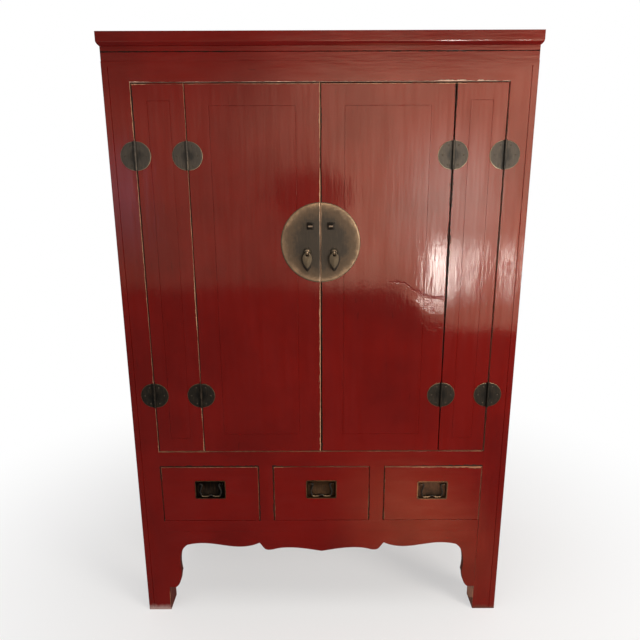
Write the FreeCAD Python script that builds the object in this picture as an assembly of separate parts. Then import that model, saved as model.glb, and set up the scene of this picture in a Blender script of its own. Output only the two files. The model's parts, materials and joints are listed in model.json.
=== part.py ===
import FreeCAD, Part
import math
import os

# Lacquered wedding cabinet: a post-and-rail case with two folding pairs of doors, three drawers
# and a curved apron. Millimetres, +Z up, front towards -Y. The origin lies on the floor, in the
# middle of the space that the cabinet takes.

os.makedirs("parts", exist_ok=True)

# Case, outside
case_width = 1180.0
case_depth = 550.0
leg_height = 302.0
lower_rail_height = 40.0
drawer_opening_height = 194.0
middle_rail_height = 52.6
door_opening_height = 1091.8
header_height = 52.6
frieze_height = 38.0
cap_thick = 35.0

# Posts and rails
post_width = 75.0
post_depth = 70.0
front_rail_thick = 40.0
back_rail_thick = 30.0
side_rail_thick = 30.0
tenon_length = 25.0
tenon_shoulder = 10.0
tenon_share = 1 / 3
scratch_bead_inset = 18.0
scratch_bead_width = 1.6
scratch_bead_deep = 1.2

# Cap and frieze
cap_overhang = 6.5
cap_curve_height = 18.0
cap_board_width = 62.0
cap_panel_thick = 18.0
frieze_inset = 0.8
frieze_thick = 25.0
frieze_line_height = 23.6

# Panels of the sides and the back
case_panel_thick = 12.0
case_panel_recess = 8.0
groove_deep = 8.0
wood_movement_gap = 1.0

# Apron
apron_thick = 22.0
# Lower edge of the apron, from the middle to the leg: across as a share of half the opening, and
# up as a share of the leg height. The first run ends in a point, the next at the bracket.
apron_middle_shares = [(0, 0.752), (0.083, 0.7765), (0.204, 0.797), (0.291, 0.783),
                       (0.334, 0.768), (0.361, 0.776), (0.383, 0.818), (0.400, 0.856)]
apron_side_shares = [(0.400, 0.856), (0.445, 0.8265), (0.5205, 0.8086), (0.625, 0.826),
                     (0.761, 0.855), (0.831, 0.846), (0.864, 0.834)]
bracket_corner_shares = [(0.864, 0.834), (0.894, 0.783), (0.909, 0.725), (0.918, 0.640),
                         (0.919, 0.578), (0.913, 0.478)]
bracket_foot_shares = [(0.913, 0.478), (0.919, 0.440), (0.922, 0.400), (0.930, 0.350),
                       (0.957, 0.294)]

# Folding doors
door_gap = 2.0
meeting_gap = 3.0
leaf_width = 141.8
door_thick = 25.0
leaf_stile_width = 40.0
leaf_rail_height = 45.0
hinge_stile_width = 64.0
meeting_stile_width = 66.0
door_rail_height = 58.0
panel_face_thick = 7.0
panel_tongue_thick = 7.0
panel_tongue_length = 9.0
joint_arris = 0.7
mitre_tenon_margin = 12.0
mitre_tenon_gap = 2.5
stop_gap = 0.5
stop_strip_height = 14.0

# Inside of the cupboard
cupboard_floor_thick = 16.0
shelf_height_above_floor = 536.0
shelf_thick = 18.0
bearer_width = 30.0
bearer_height = 25.0

# Drawers
divider_width = 47.6
middle_drawer_opening = 308.6
divider_tenon = 10.0
drawer_gap = 1.5
drawer_front_thick = 20.0
drawer_housing_deep = 8.0
drawer_side_thick = 12.0
drawer_side_height = 170.0
drawer_back_clearance = 20.0
drawer_bottom_thick = 8.0
drawer_bottom_rise = 10.0
drawer_bottom_groove = 5.0
runner_thick = 22.0
runner_bearing = 18.0
guide_height = 15.0
run_clearance = 0.3

# Hinges
hinge_radius = 39.0
hinge_plate_thick = 1.8
hinge_knuckle_radius = 4.0
hinge_pin_radius = 1.8
hinge_pin_fit = 0.05
hinge_axis_out = 4.2
hinge_plate_setback = 3.5
hinge_knuckle_gap = 0.3
hinge_top_inset = 191.4
hinge_bottom_inset = 190.4
hinge_middle_share = 0.34
pin_head_radius = 3.2
pin_head_height = 1.6
nail_circle_radius = 29.5
nail_spread_degrees = 62.0
nail_head_radius = 2.3
nail_head_height = 0.9
nail_shank_radius = 0.9
nail_length = 14.0
nail_fit = 0.05

# Lock plate, its staples and drop pulls
lock_plate_radius = 115.0
lock_plate_thick = 1.8
lock_centre_height = 1247.0
staple_offset = 29.5
staple_rise = 48.0
staple_width = 12.0
staple_height = 15.0
staple_out = 16.0
staple_hole_radius = 4.0
staple_base_side = 21.0
staple_base_thick = 1.0
shank_radius = 2.5
shank_fit = 0.05
clinch_radius = 6.0
clinch_thick = 1.5
pull_offset = 39.0
pull_drop = 26.0
boss_radius = 12.5
boss_height = 3.5
eye_inner_radius = 4.3
eye_wire_radius = 1.5
eye_axis_out = 11.0
pull_thick = 2.6
pull_length = 60.0
pull_half_width = 16.6
pull_top_rim = 7.4
pull_hole_radius = 4.5
# Outline of the leaf pull, from its top to its tip: half width and length as shares.
pull_shares = [(0, 0), (0.30, 0.030), (0.45, 0.105), (0.50, 0.185), (0.72, 0.250),
               (0.93, 0.340), (1, 0.460), (0.91, 0.610), (0.66, 0.780), (0.33, 0.915), (0, 1)]

# Recessed drawer pulls
pull_plate_width = 98.0
pull_plate_height = 64.0
pull_plate_thick = 1.6
pull_plate_corner = 6.0
pull_border = 4.0
pan_deep = 10.0
pan_wall = 1.2
pan_fit = 0.3
pull_centre_above_rail = 113.0
right_pull_lower = 4.5
bail_pivot_rise = 19.0
bail_pivot_above_pan = 7.5
bail_wire_radius = 2.4
bail_fit = 0.05
bail_post_offset = 36.5
bail_post_width = 6.0
bail_post_radius = 4.5
bail_post_shank_radius = 2.0
bail_end_play = 0.5
bail_drop = 44.0
# Bends of half the bail: across as a share of the post offset, down as a share of the drop, and
# the bend's radius in wire radii. The last one lies in the middle.
bail_bend_shares = [(0.70, 0, 1.7), (0.945, 0.61, 5.8), (0.795, 1, 2.9), (0.30, 1, 4.2),
                    (0, 0.865, 3.3)]

cut_overrun = 1.0

# Places that follow from the sizes
half_width = case_width / 2
opening_half = half_width - post_width
apron_top = leg_height
drawer_bottom = apron_top + lower_rail_height
drawer_top = drawer_bottom + drawer_opening_height
door_bottom = drawer_top + middle_rail_height
door_top = door_bottom + door_opening_height
post_top = door_top + header_height
cap_bottom = post_top + frieze_height
case_top = cap_bottom + cap_thick
hardware_reach = lock_plate_thick + eye_axis_out + eye_inner_radius + 2 * eye_wire_radius
front_y = (hardware_reach - case_depth) / 2
side_panel_inner_x = half_width - case_panel_recess - case_panel_thick
back_panel_inner = case_depth - case_panel_recess - case_panel_thick
leaf_outer_x = opening_half - door_gap
leaf_inner_x = leaf_outer_x - leaf_width
door_outer_x = leaf_inner_x - door_gap
door_inner_x = meeting_gap / 2
door_low = door_bottom + door_gap
door_high = door_top - door_gap
outer_hinge_x = opening_half - door_gap / 2
inner_hinge_x = leaf_inner_x - door_gap / 2
hinge_heights = [door_bottom + hinge_bottom_inset, door_top - hinge_top_inset]
divider_inner_x = middle_drawer_opening / 2
divider_outer_x = divider_inner_x + divider_width
pull_eye_up = lock_centre_height - pull_drop
staple_up = lock_centre_height + staple_rise


def at(across, back, up):
    """A point, with back measured from the front face of the case."""
    return FreeCAD.Vector(across, front_y + back, up)


def block(x_low, x_high, back_low, back_high, z_low, z_high):
    """A squared board, with its depth measured back from the front face."""
    return Part.makeBox(x_high - x_low, back_high - back_low, z_high - z_low,
                        at(x_low, back_low, z_low))


def face_slab(corners, back_low, back_high):
    """A board sawn to an outline seen from the front."""
    wire = Part.makePolygon([at(x, back_low, z) for x, z in corners + corners[:1]])
    return Part.Face(wire).extrude(FreeCAD.Vector(0, back_high - back_low, 0))


def plan_slab(corners, z_low, z_high):
    """A board sawn to an outline seen from above."""
    wire = Part.makePolygon([at(x, back, z_low) for x, back in corners + corners[:1]])
    return Part.Face(wire).extrude(FreeCAD.Vector(0, 0, z_high - z_low))


def rod_back(radius, across, up, back_low, back_high):
    """A round rod that runs from front to back."""
    length = back_high - back_low
    return Part.makeCylinder(radius, length, at(across, back_low, up), FreeCAD.Vector(0, 1, 0))


def rod_across(radius, x_low, x_high, back, up):
    """A round rod that runs from left to right."""
    return Part.makeCylinder(radius, x_high - x_low, at(x_low, back, up), FreeCAD.Vector(1, 0, 0))


def turned_dome(x, z, face, radius, height, core_radius, core_end):
    """A domed head that stands on a face, with a round core that runs back from it."""
    def section(out, back):
        return at(x + out, back, z)

    ball_radius = (radius ** 2 + height ** 2) / (2 * height)
    rise_half = math.asin(radius / ball_radius) / 2
    crown = face - height
    shoulder = section(ball_radius * math.sin(rise_half),
                       crown + ball_radius * (1 - math.cos(rise_half)))
    edges = [Part.Arc(section(0, crown), shoulder, section(radius, face)).toShape(),
             Part.LineSegment(section(radius, face), section(core_radius, face)).toShape(),
             Part.LineSegment(section(core_radius, face), section(core_radius, core_end)).toShape(),
             Part.LineSegment(section(core_radius, core_end), section(0, core_end)).toShape(),
             Part.LineSegment(section(0, core_end), section(0, crown)).toShape()]
    profile = Part.Face(Part.Wire(edges))
    full_turn = 360
    return profile.revolve(section(0, face), FreeCAD.Vector(0, 1, 0), full_turn)


def mirrored(solid):
    """The same piece on the left side of the cabinet."""
    return solid.mirror(FreeCAD.Vector(0, 0, 0), FreeCAD.Vector(1, 0, 0))


def both_sides(solids):
    return solids + [mirrored(solid) for solid in solids]


def save(node, solids):
    """Write one named sub-part."""
    shape = solids[0] if len(solids) == 1 else Part.makeCompound(solids)
    shape.exportStep("parts/" + node + ".step")


def tenon_across(x_low, x_high, back, thick, z_low, z_high):
    """Tongue at the end of a rail that runs across, in the middle third of its thickness."""
    cheek = thick * tenon_share
    return block(x_low, x_high, back + cheek, back + thick - cheek,
                 z_low + tenon_shoulder, z_high - tenon_shoulder)


# Rails across the case, and the mortises that they need in the right-hand posts
rail_levels = [(apron_top, drawer_bottom), (drawer_top, door_bottom), (door_top, post_top)]


def cross_rail(back, thick, z_low, z_high):
    """A rail between two posts, with a tenon at each end."""
    rail = block(-opening_half, opening_half, back, back + thick, z_low, z_high)
    tongue = tenon_across(opening_half, opening_half + tenon_length, back, thick, z_low, z_high)
    return rail.fuse([tongue, mirrored(tongue)]).removeSplitter()


def side_rail(z_low, z_high):
    """A rail from front post to back post on the right-hand side."""
    cheek = side_rail_thick * tenon_share
    rail = block(half_width - side_rail_thick, half_width, post_depth, case_depth - post_depth,
                 z_low, z_high)
    tongue = block(half_width - side_rail_thick + cheek, half_width - cheek,
                   post_depth - tenon_length, case_depth - post_depth + tenon_length,
                   z_low + tenon_shoulder, z_high - tenon_shoulder)
    return rail.fuse(tongue).removeSplitter()


def header_mitre():
    """Outline of the header rail, whose ends run from the opening's corner to the case's."""
    return [(-opening_half, door_top), (opening_half, door_top),
            (half_width, post_top), (-half_width, post_top)]


def make_header_rail():
    rail = face_slab(header_mitre(), 0, front_rail_thick)
    tongue = tenon_across(opening_half, opening_half + tenon_length, 0, front_rail_thick,
                          door_top, post_top)
    return rail.fuse([tongue, mirrored(tongue)]).removeSplitter()


def side_panel(z_low, z_high):
    """A panel of the right side, held in grooves in the posts and rails."""
    tongue = groove_deep - wood_movement_gap
    return block(side_panel_inner_x, side_panel_inner_x + case_panel_thick,
                 post_depth - tongue, case_depth - post_depth + tongue,
                 z_low - tongue, z_high + tongue)


def side_groove(z_low, z_high):
    return block(side_panel_inner_x, side_panel_inner_x + case_panel_thick,
                 post_depth - groove_deep, case_depth - post_depth + groove_deep,
                 z_low - groove_deep, z_high + groove_deep)


def back_panel(z_low, z_high):
    tongue = groove_deep - wood_movement_gap
    return block(-opening_half - tongue, opening_half + tongue,
                 back_panel_inner, back_panel_inner + case_panel_thick,
                 z_low - tongue, z_high + tongue)


def back_groove(z_low, z_high):
    return block(-opening_half - groove_deep, opening_half + groove_deep,
                 back_panel_inner, back_panel_inner + case_panel_thick,
                 z_low - groove_deep, z_high + groove_deep)


panel_levels = [(drawer_bottom, drawer_top), (door_bottom, door_top)]
back_rail_start = case_depth - back_rail_thick


def scratch_bead():
    """Fine groove worked down the face of a front post."""
    centre = half_width - scratch_bead_inset
    half = scratch_bead_width / 2
    corners = [(centre - half, -cut_overrun), (centre + half, -cut_overrun),
               (centre + half, 0), (centre, scratch_bead_deep), (centre - half, 0)]
    return plan_slab(corners, 0, post_top)


def make_front_post(nail_holes):
    post = block(opening_half, half_width, 0, post_depth, 0, post_top)
    waste = [face_slab(header_mitre(), 0, front_rail_thick), make_header_rail(), scratch_bead()]
    waste += [cross_rail(0, front_rail_thick, low, high) for low, high in rail_levels[:2]]
    waste += [side_rail(low, high) for low, high in rail_levels]
    waste += [side_groove(low, high) for low, high in panel_levels]
    return post.cut(waste + nail_holes)


def make_back_post():
    post = block(opening_half, half_width, case_depth - post_depth, case_depth, 0, post_top)
    waste = [cross_rail(back_rail_start, back_rail_thick, low, high) for low, high in rail_levels]
    waste += [side_rail(low, high) for low, high in rail_levels]
    waste += [side_groove(low, high) for low, high in panel_levels]
    waste += [back_groove(low, high) for low, high in panel_levels]
    return post.cut(waste)


# Hinges. Each half plate sits on the face of the wood and carries its share of the knuckles.
knuckle_end_share = (1 - hinge_middle_share) / 2
outer_knuckles = [(0, knuckle_end_share), (1 - knuckle_end_share, 1)]
middle_knuckle = [(knuckle_end_share, 1 - knuckle_end_share)]


def nail_places(x, z, side):
    """Nail centres of one half plate. side is 1 for the half towards +X."""
    turns = [math.radians(nail_spread_degrees * step) for step in (-1, 0, 1)]
    return [(x + side * nail_circle_radius * math.cos(turn),
             z + nail_circle_radius * math.sin(turn)) for turn in turns]


def make_nail(x, z):
    """A round-headed nail, its head domed on the plate."""
    face = -hinge_plate_thick
    return turned_dome(x, z, face, nail_head_radius, nail_head_height, nail_shank_radius,
                       nail_length)


def nail_holes(x, z, side):
    start = -hinge_plate_thick - cut_overrun
    return [rod_back(nail_shank_radius + nail_fit, across, up, start, nail_length + nail_fit)
            for across, up in nail_places(x, z, side)]


def half_hinge(x, z, side, knuckles):
    """Half of a round hinge about the axis at x, with its own share of the knuckles."""
    edge = x + side * hinge_plate_setback
    rim = edge + side * hinge_radius
    tip = x + side * hinge_pin_radius
    bottom = z - hinge_radius
    disc = rod_back(hinge_radius, edge, z, -hinge_plate_thick, 0)
    plate = disc.common(block(min(edge, rim), max(edge, rim), -hinge_plate_thick, 0,
                              bottom, z + hinge_radius))
    joined = []
    for low_share, high_share in knuckles:
        low = bottom + 2 * hinge_radius * low_share + hinge_knuckle_gap / 2
        high = bottom + 2 * hinge_radius * high_share - hinge_knuckle_gap / 2
        joined.append(block(min(tip, edge), max(tip, edge), -hinge_plate_thick, 0, low, high))
        joined.append(Part.makeCylinder(hinge_knuckle_radius, high - low,
                                        at(x, -hinge_axis_out, low)))
    bore = Part.makeCylinder(hinge_pin_radius + hinge_pin_fit, 2 * hinge_radius,
                             at(x, -hinge_axis_out, bottom))
    return plate.fuse(joined).cut([bore] + nail_holes(x, z, side))


def hinge_pin(x, z):
    """Pin through all the knuckles, with a flat head on the top one."""
    seat = z + hinge_radius - hinge_knuckle_gap / 2
    length = 2 * hinge_radius - hinge_knuckle_gap
    pin = Part.makeCylinder(hinge_pin_radius, length, at(x, -hinge_axis_out, seat - length))
    head = Part.makeCylinder(pin_head_radius, pin_head_height, at(x, -hinge_axis_out, seat))
    return pin.fuse(head).removeSplitter()


def hinge_row(x, side, knuckles):
    """Half plates of one seam, at both heights."""
    return [half_hinge(x, z, side, knuckles) for z in hinge_heights]


def nail_row(x, side):
    return [make_nail(across, up) for z in hinge_heights for across, up in nail_places(x, z, side)]


def hole_row(x, side):
    return [hole for z in hinge_heights for hole in nail_holes(x, z, side)]


# Folding doors, made for the right-hand side
def mitred_frame(x_low, x_high, rail_height, stile_low, stile_high):
    """Stiles and rails of a leaf, mitred at the corners, tenoned and grooved for the panel."""
    inner_low = x_low + stile_low
    inner_high = x_high - stile_high
    sill = door_low + rail_height
    head = door_high - rail_height
    low_stile = [(x_low, door_low), (x_low, door_high), (inner_low, head), (inner_low, sill)]
    high_stile = [(x_high, door_low), (x_high, door_high), (inner_high, head), (inner_high, sill)]
    low_rail = [(x_low, door_low), (x_high, door_low), (inner_high, sill), (inner_low, sill)]
    high_rail = [(x_low, door_high), (x_high, door_high), (inner_high, head), (inner_low, head)]
    stiles = [face_slab(corners, 0, door_thick) for corners in (low_stile, high_stile)]
    rails = [face_slab(corners, 0, door_thick) for corners in (low_rail, high_rail)]
    tongue_start = panel_face_thick + panel_tongue_thick + mitre_tenon_gap
    tongue_end = door_thick - mitre_tenon_gap
    groove = panel_tongue_length + wood_movement_gap
    bands = [(door_low + mitre_tenon_margin, sill - mitre_tenon_margin),
             (head + mitre_tenon_margin, door_high - mitre_tenon_margin)]
    tongues = []
    for low, high in bands:
        tongues.append([block(x_low + mitre_tenon_margin, inner_low, tongue_start, tongue_end,
                              low, high),
                        block(inner_high, x_high - mitre_tenon_margin, tongue_start, tongue_end,
                              low, high)])
    channel = block(inner_low - groove, inner_high + groove, panel_face_thick,
                    panel_face_thick + panel_tongue_thick, sill - groove, head + groove)
    stiles = [stile.cut(tongues[0] + tongues[1] + [channel]) for stile in stiles]
    rails = [rail.fuse(pair).removeSplitter().cut(channel) for rail, pair in zip(rails, tongues)]
    return stiles, rails


def eased(board, back):
    """Take the arris off the front edges of a flush panel, which leaves a fine line round it."""
    edges = [edge for edge in board.Edges
             if all(abs(vertex.Y - front_y - back) < joint_arris for vertex in edge.Vertexes)]
    return board.makeChamfer(joint_arris, edges)


def flush_panel(x_low, x_high, rail_height, stile_low, stile_high):
    """Panel whose face is level with the frame, held by a tongue in the frame's groove."""
    tongue = panel_tongue_length
    inner_low = x_low + stile_low
    inner_high = x_high - stile_high
    sill = door_low + rail_height
    head = door_high - rail_height
    face = block(inner_low, inner_high, 0, panel_face_thick, sill, head)
    back = block(inner_low - tongue, inner_high + tongue, panel_face_thick,
                 panel_face_thick + panel_tongue_thick, sill - tongue, head + tongue)
    return eased(face, 0).fuse(back).removeSplitter()


leaf_stiles, leaf_rails = mitred_frame(leaf_inner_x, leaf_outer_x, leaf_rail_height,
                                       leaf_stile_width, leaf_stile_width)
leaf_panel = flush_panel(leaf_inner_x, leaf_outer_x, leaf_rail_height,
                         leaf_stile_width, leaf_stile_width)
leaf_holes = hole_row(inner_hinge_x, 1) + hole_row(outer_hinge_x, -1)
leaf_frame = [stile.cut(leaf_holes) for stile in leaf_stiles] + leaf_rails
leaf_plates = hinge_row(inner_hinge_x, 1, outer_knuckles)
leaf_plates += hinge_row(outer_hinge_x, -1, middle_knuckle)
leaf_fasteners = [hinge_pin(inner_hinge_x, z) for z in hinge_heights]
leaf_fasteners += nail_row(inner_hinge_x, 1) + nail_row(outer_hinge_x, -1)

door_stiles, door_rails = mitred_frame(door_inner_x, door_outer_x, door_rail_height,
                                       meeting_stile_width, hinge_stile_width)
door_panel = flush_panel(door_inner_x, door_outer_x, door_rail_height,
                         meeting_stile_width, hinge_stile_width)


# Lock plate and what hangs on it, made for the right-hand door
def door_bolt(x, z, start):
    """Shank through the door, with its end clinched over a round washer behind."""
    shank = rod_back(shank_radius, x, z, start, door_thick)
    washer = rod_back(clinch_radius, x, z, door_thick, door_thick + clinch_thick)
    return shank.fuse(washer)


def shank_hole(x, z):
    return rod_back(shank_radius + shank_fit, x, z, -lock_plate_thick - boss_height - cut_overrun,
                    door_thick + cut_overrun)


shank_holes = [shank_hole(staple_offset, staple_up), shank_hole(pull_offset, pull_eye_up)]
door_frame = [stile.cut(hole_row(inner_hinge_x, -1) + shank_holes) for stile in door_stiles]
door_frame += door_rails


def make_lock_plate():
    disc = rod_back(lock_plate_radius, 0, lock_centre_height, -lock_plate_thick, 0)
    half = block(door_inner_x, lock_plate_radius, -lock_plate_thick, 0,
                 lock_centre_height - lock_plate_radius, lock_centre_height + lock_plate_radius)
    return disc.common(half).cut(shank_holes)


def make_lock_staple():
    """A stout eye for the lock bar, its hole running across the doors."""
    low_x = staple_offset - staple_width / 2
    high_x = staple_offset + staple_width / 2
    crown = staple_height / 2
    nose = -lock_plate_thick - staple_out + crown
    base = -lock_plate_thick - staple_base_thick
    neck = block(low_x, high_x, nose, base, staple_up - crown, staple_up + crown)
    eye = neck.fuse(rod_across(crown, low_x, high_x, nose, staple_up)).removeSplitter()
    hole = rod_across(staple_hole_radius, low_x, high_x, nose, staple_up)
    return eye.cut(hole).fuse(door_bolt(staple_offset, staple_up, base))


def make_staple_base():
    half = staple_base_side / 2
    plate = block(staple_offset - half, staple_offset + half,
                  -lock_plate_thick - staple_base_thick, -lock_plate_thick,
                  staple_up - half, staple_up + half)
    return plate.cut(shank_hole(staple_offset, staple_up))


pull_axis_back = -lock_plate_thick - eye_axis_out
eye_ring_radius = eye_inner_radius + eye_wire_radius


def make_pull_eye():
    """Eye bolt with an upright ring, on which the leaf pull hangs."""
    ring = Part.makeTorus(eye_ring_radius, eye_wire_radius,
                          at(pull_offset, pull_axis_back, pull_eye_up), FreeCAD.Vector(1, 0, 0))
    return ring.fuse(door_bolt(pull_offset, pull_eye_up, pull_axis_back + eye_ring_radius))


def make_pull_boss():
    """Domed brass boss between the lock plate and the eye."""
    top = -lock_plate_thick - boss_height
    ball_radius = (boss_radius ** 2 + boss_height ** 2) / (2 * boss_height)
    ball = Part.makeSphere(ball_radius, at(pull_offset, top + ball_radius, pull_eye_up))
    dome = ball.common(rod_back(boss_radius, pull_offset, pull_eye_up, top, -lock_plate_thick))
    return dome.cut(shank_hole(pull_offset, pull_eye_up))


def make_drop_pull():
    """Leaf-shaped pull, with its top rim lying in the middle of the eye."""
    top = pull_eye_up + pull_top_rim / 2
    back = pull_axis_back - pull_thick / 2
    half = [at(pull_offset + across * pull_half_width, back, top - down * pull_length)
            for across, down in pull_shares]
    other = [at(pull_offset - across * pull_half_width, back, top - down * pull_length)
             for across, down in reversed(pull_shares)]
    edges = []
    for points in (half, other):
        side = Part.BSplineCurve()
        side.interpolate(points)
        edges.append(side.toShape())
    leaf = Part.Face(Part.Wire(edges)).extrude(FreeCAD.Vector(0, pull_thick, 0))
    hole = rod_back(pull_hole_radius, pull_offset, top - pull_top_rim - pull_hole_radius,
                    pull_axis_back - pull_thick, pull_axis_back + pull_thick)
    return leaf.cut(hole)


# Drawers
def rounded_plate(x, z, width, height, corner, back_low, back_high):
    plate = block(x - width / 2, x + width / 2, back_low, back_high, z - height / 2, z + height / 2)
    uprights = [edge for edge in plate.Edges
                if abs(edge.Vertexes[0].Y - edge.Vertexes[-1].Y) > (back_high - back_low) / 2]
    return plate.makeFillet(corner, uprights)


pan_width = pull_plate_width - 2 * pull_border
pan_height = pull_plate_height - 2 * pull_border
bail_back = pan_deep - bail_pivot_above_pan


def post_places(x):
    return [x - bail_post_offset, x + bail_post_offset]


def make_pull_plate(x, z):
    """Recessed pull plate: a flat border and a pan sunk in the drawer front."""
    border = rounded_plate(x, z, pull_plate_width, pull_plate_height, pull_plate_corner,
                           -pull_plate_thick, 0)
    shell = rounded_plate(x, z, pan_width + 2 * pan_wall, pan_height + 2 * pan_wall,
                          pull_plate_corner, 0, pan_deep + pan_wall)
    hollow = rounded_plate(x, z, pan_width, pan_height, pull_plate_corner - pan_wall,
                           -pull_plate_thick - cut_overrun, pan_deep)
    holes = [rod_back(bail_post_shank_radius + bail_fit, across, z + bail_pivot_rise, pan_deep,
                      pan_deep + pan_wall + cut_overrun) for across in post_places(x)]
    return border.fuse(shell).cut([hollow] + holes)


def make_bail_post(x, pivot_z):
    """Post that holds one end of the bail, with its shank through the drawer front."""
    low_x = x - bail_post_width / 2
    high_x = x + bail_post_width / 2
    stem = block(low_x, high_x, bail_back, pan_deep, pivot_z - bail_post_radius,
                 pivot_z + bail_post_radius)
    eye = rod_across(bail_post_radius, low_x, high_x, bail_back, pivot_z)
    shank = rod_back(bail_post_shank_radius, x, pivot_z, pan_deep, drawer_front_thick)
    nut = rod_back(bail_post_radius, x, pivot_z, drawer_front_thick,
                   drawer_front_thick + pull_plate_thick)
    bore = rod_across(bail_wire_radius + bail_fit, low_x, high_x, bail_back, pivot_z)
    return eye.fuse([stem, shank, nut]).cut(bore)


def bend_wire(points, radii):
    """Path of straight runs joined by arcs that touch them. Ends have no arc."""
    edges = []
    start = points[0]
    for before, corner, after, radius in zip(points, points[1:], points[2:], radii):
        inward = (before - corner).normalize()
        outward = (after - corner).normalize()
        half_angle = inward.getAngle(outward) / 2
        setback = radius / math.tan(half_angle)
        first = corner + inward * setback
        last = corner + outward * setback
        middle_line = (inward + outward).normalize()
        middle = corner + middle_line * (radius / math.sin(half_angle) - radius)
        edges.append(Part.LineSegment(start, first).toShape())
        edges.append(Part.Arc(first, middle, last).toShape())
        start = last
    edges.append(Part.LineSegment(start, points[-1]).toShape())
    return Part.Wire(edges)


def make_bail(x, pivot_z):
    """Swinging handle bent from round wire, its ends turned out into the posts."""
    end = bail_post_offset + bail_post_width / 2 + bail_end_play
    bends = [(across * bail_post_offset, -down * bail_drop, radius * bail_wire_radius)
             for across, down, radius in bail_bend_shares]
    left = [(-across, down, radius) for across, down, radius in bends]
    row = left + bends[-2::-1]
    points = [at(x - end, bail_back, pivot_z)]
    points += [at(x + across, bail_back, pivot_z + down) for across, down, radius in row]
    points.append(at(x + end, bail_back, pivot_z))
    path = bend_wire(points, [radius for across, down, radius in row])
    ring = Part.makeCircle(bail_wire_radius, points[0], FreeCAD.Vector(1, 0, 0))
    return path.makePipeShell([Part.Wire(ring)], True, True)


drawer_side_low = drawer_bottom + run_clearance
drawer_side_high = drawer_side_low + drawer_side_height
drawer_length = back_panel_inner - drawer_back_clearance
board_low = drawer_side_low + drawer_bottom_rise


def make_drawer(x_low, x_high, pull_z):
    """Front and box of a drawer that fills the opening from x_low to x_high."""
    left = x_low + drawer_gap
    right = x_high - drawer_gap
    centre = (left + right) / 2
    front = block(left, right, 0, drawer_front_thick, drawer_bottom + drawer_gap,
                  drawer_top - drawer_gap)
    side_start = drawer_front_thick - drawer_housing_deep
    sides = [block(low, low + drawer_side_thick, side_start, drawer_length,
                   drawer_side_low, drawer_side_high)
             for low in (left, right - drawer_side_thick)]
    inner_left = left + drawer_side_thick
    inner_right = right - drawer_side_thick
    floor = block(inner_left - drawer_bottom_groove, inner_right + drawer_bottom_groove,
                  drawer_front_thick - drawer_bottom_groove, drawer_length,
                  board_low, board_low + drawer_bottom_thick)
    back = block(inner_left, inner_right, drawer_length - drawer_side_thick, drawer_length,
                 board_low + drawer_bottom_thick, drawer_side_high)
    pan_seat = rounded_plate(centre, pull_z, pan_width + 2 * (pan_wall + pan_fit),
                             pan_height + 2 * (pan_wall + pan_fit), pull_plate_corner,
                             -cut_overrun, pan_deep + pan_wall + pan_fit)
    holes = [rod_back(bail_post_shank_radius + bail_fit, across, pull_z + bail_pivot_rise, 0,
                      drawer_front_thick + cut_overrun) for across in post_places(centre)]
    front = front.cut(sides + [floor, pan_seat] + holes)
    sides = [side.cut(floor) for side in sides]
    return front, sides + [floor, back], centre


# Case
def make_apron():
    """Curved board under the lower rail and the bracket beside each leg."""
    def spread(shares):
        return [at(across * opening_half, 0, up * leg_height) for across, up in shares]

    def curve(shares, mirror_x=1):
        line = Part.BSplineCurve()
        line.interpolate([FreeCAD.Vector(mirror_x * p.x, p.y, p.z) for p in spread(shares)])
        return line.toShape()

    split = apron_side_shares[-1][0] * opening_half
    top = [at(-split, 0, apron_top), at(split, 0, apron_top)]
    ends = [at(split, 0, apron_side_shares[-1][1] * leg_height),
            at(-split, 0, apron_side_shares[-1][1] * leg_height)]
    outline = [Part.LineSegment(top[0], top[1]).toShape(),
               Part.LineSegment(top[1], ends[0]).toShape(),
               curve(apron_side_shares), curve(apron_middle_shares),
               curve(apron_middle_shares, -1), curve(apron_side_shares, -1),
               Part.LineSegment(ends[1], top[0]).toShape()]
    thick = FreeCAD.Vector(0, apron_thick, 0)
    board = Part.Face(Part.Wire(Part.sortEdges(outline)[0])).extrude(thick)
    foot = spread(bracket_foot_shares[-1:])[0]
    leg_corner = at(opening_half, 0, foot.z)
    bracket = [Part.LineSegment(ends[0], top[1]).toShape(),
               Part.LineSegment(top[1], at(opening_half, 0, apron_top)).toShape(),
               Part.LineSegment(at(opening_half, 0, apron_top), leg_corner).toShape(),
               Part.LineSegment(leg_corner, foot).toShape(),
               curve(bracket_foot_shares), curve(bracket_corner_shares)]
    wing = Part.Face(Part.Wire(Part.sortEdges(bracket)[0])).extrude(thick)
    return [board] + both_sides([wing])


def cap_profile(corner, outward):
    """Section of a cap board: square edge above, quarter round below."""
    def point(out, up):
        return corner + outward * out + FreeCAD.Vector(0, 0, up)

    round_share = math.sqrt(1 / 2)
    lift = cap_curve_height * (1 - round_share)
    edges = [Part.Arc(point(0, 0), point(cap_overhang * round_share, lift),
                      point(cap_overhang, cap_curve_height)).toShape(),
             Part.LineSegment(point(cap_overhang, cap_curve_height),
                              point(cap_overhang, cap_thick)).toShape(),
             Part.LineSegment(point(cap_overhang, cap_thick),
                              point(-cap_board_width, cap_thick)).toShape(),
             Part.LineSegment(point(-cap_board_width, cap_thick),
                              point(-cap_board_width, 0)).toShape(),
             Part.LineSegment(point(-cap_board_width, 0), point(0, 0)).toShape()]
    return Part.Face(Part.Wire(edges))


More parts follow.
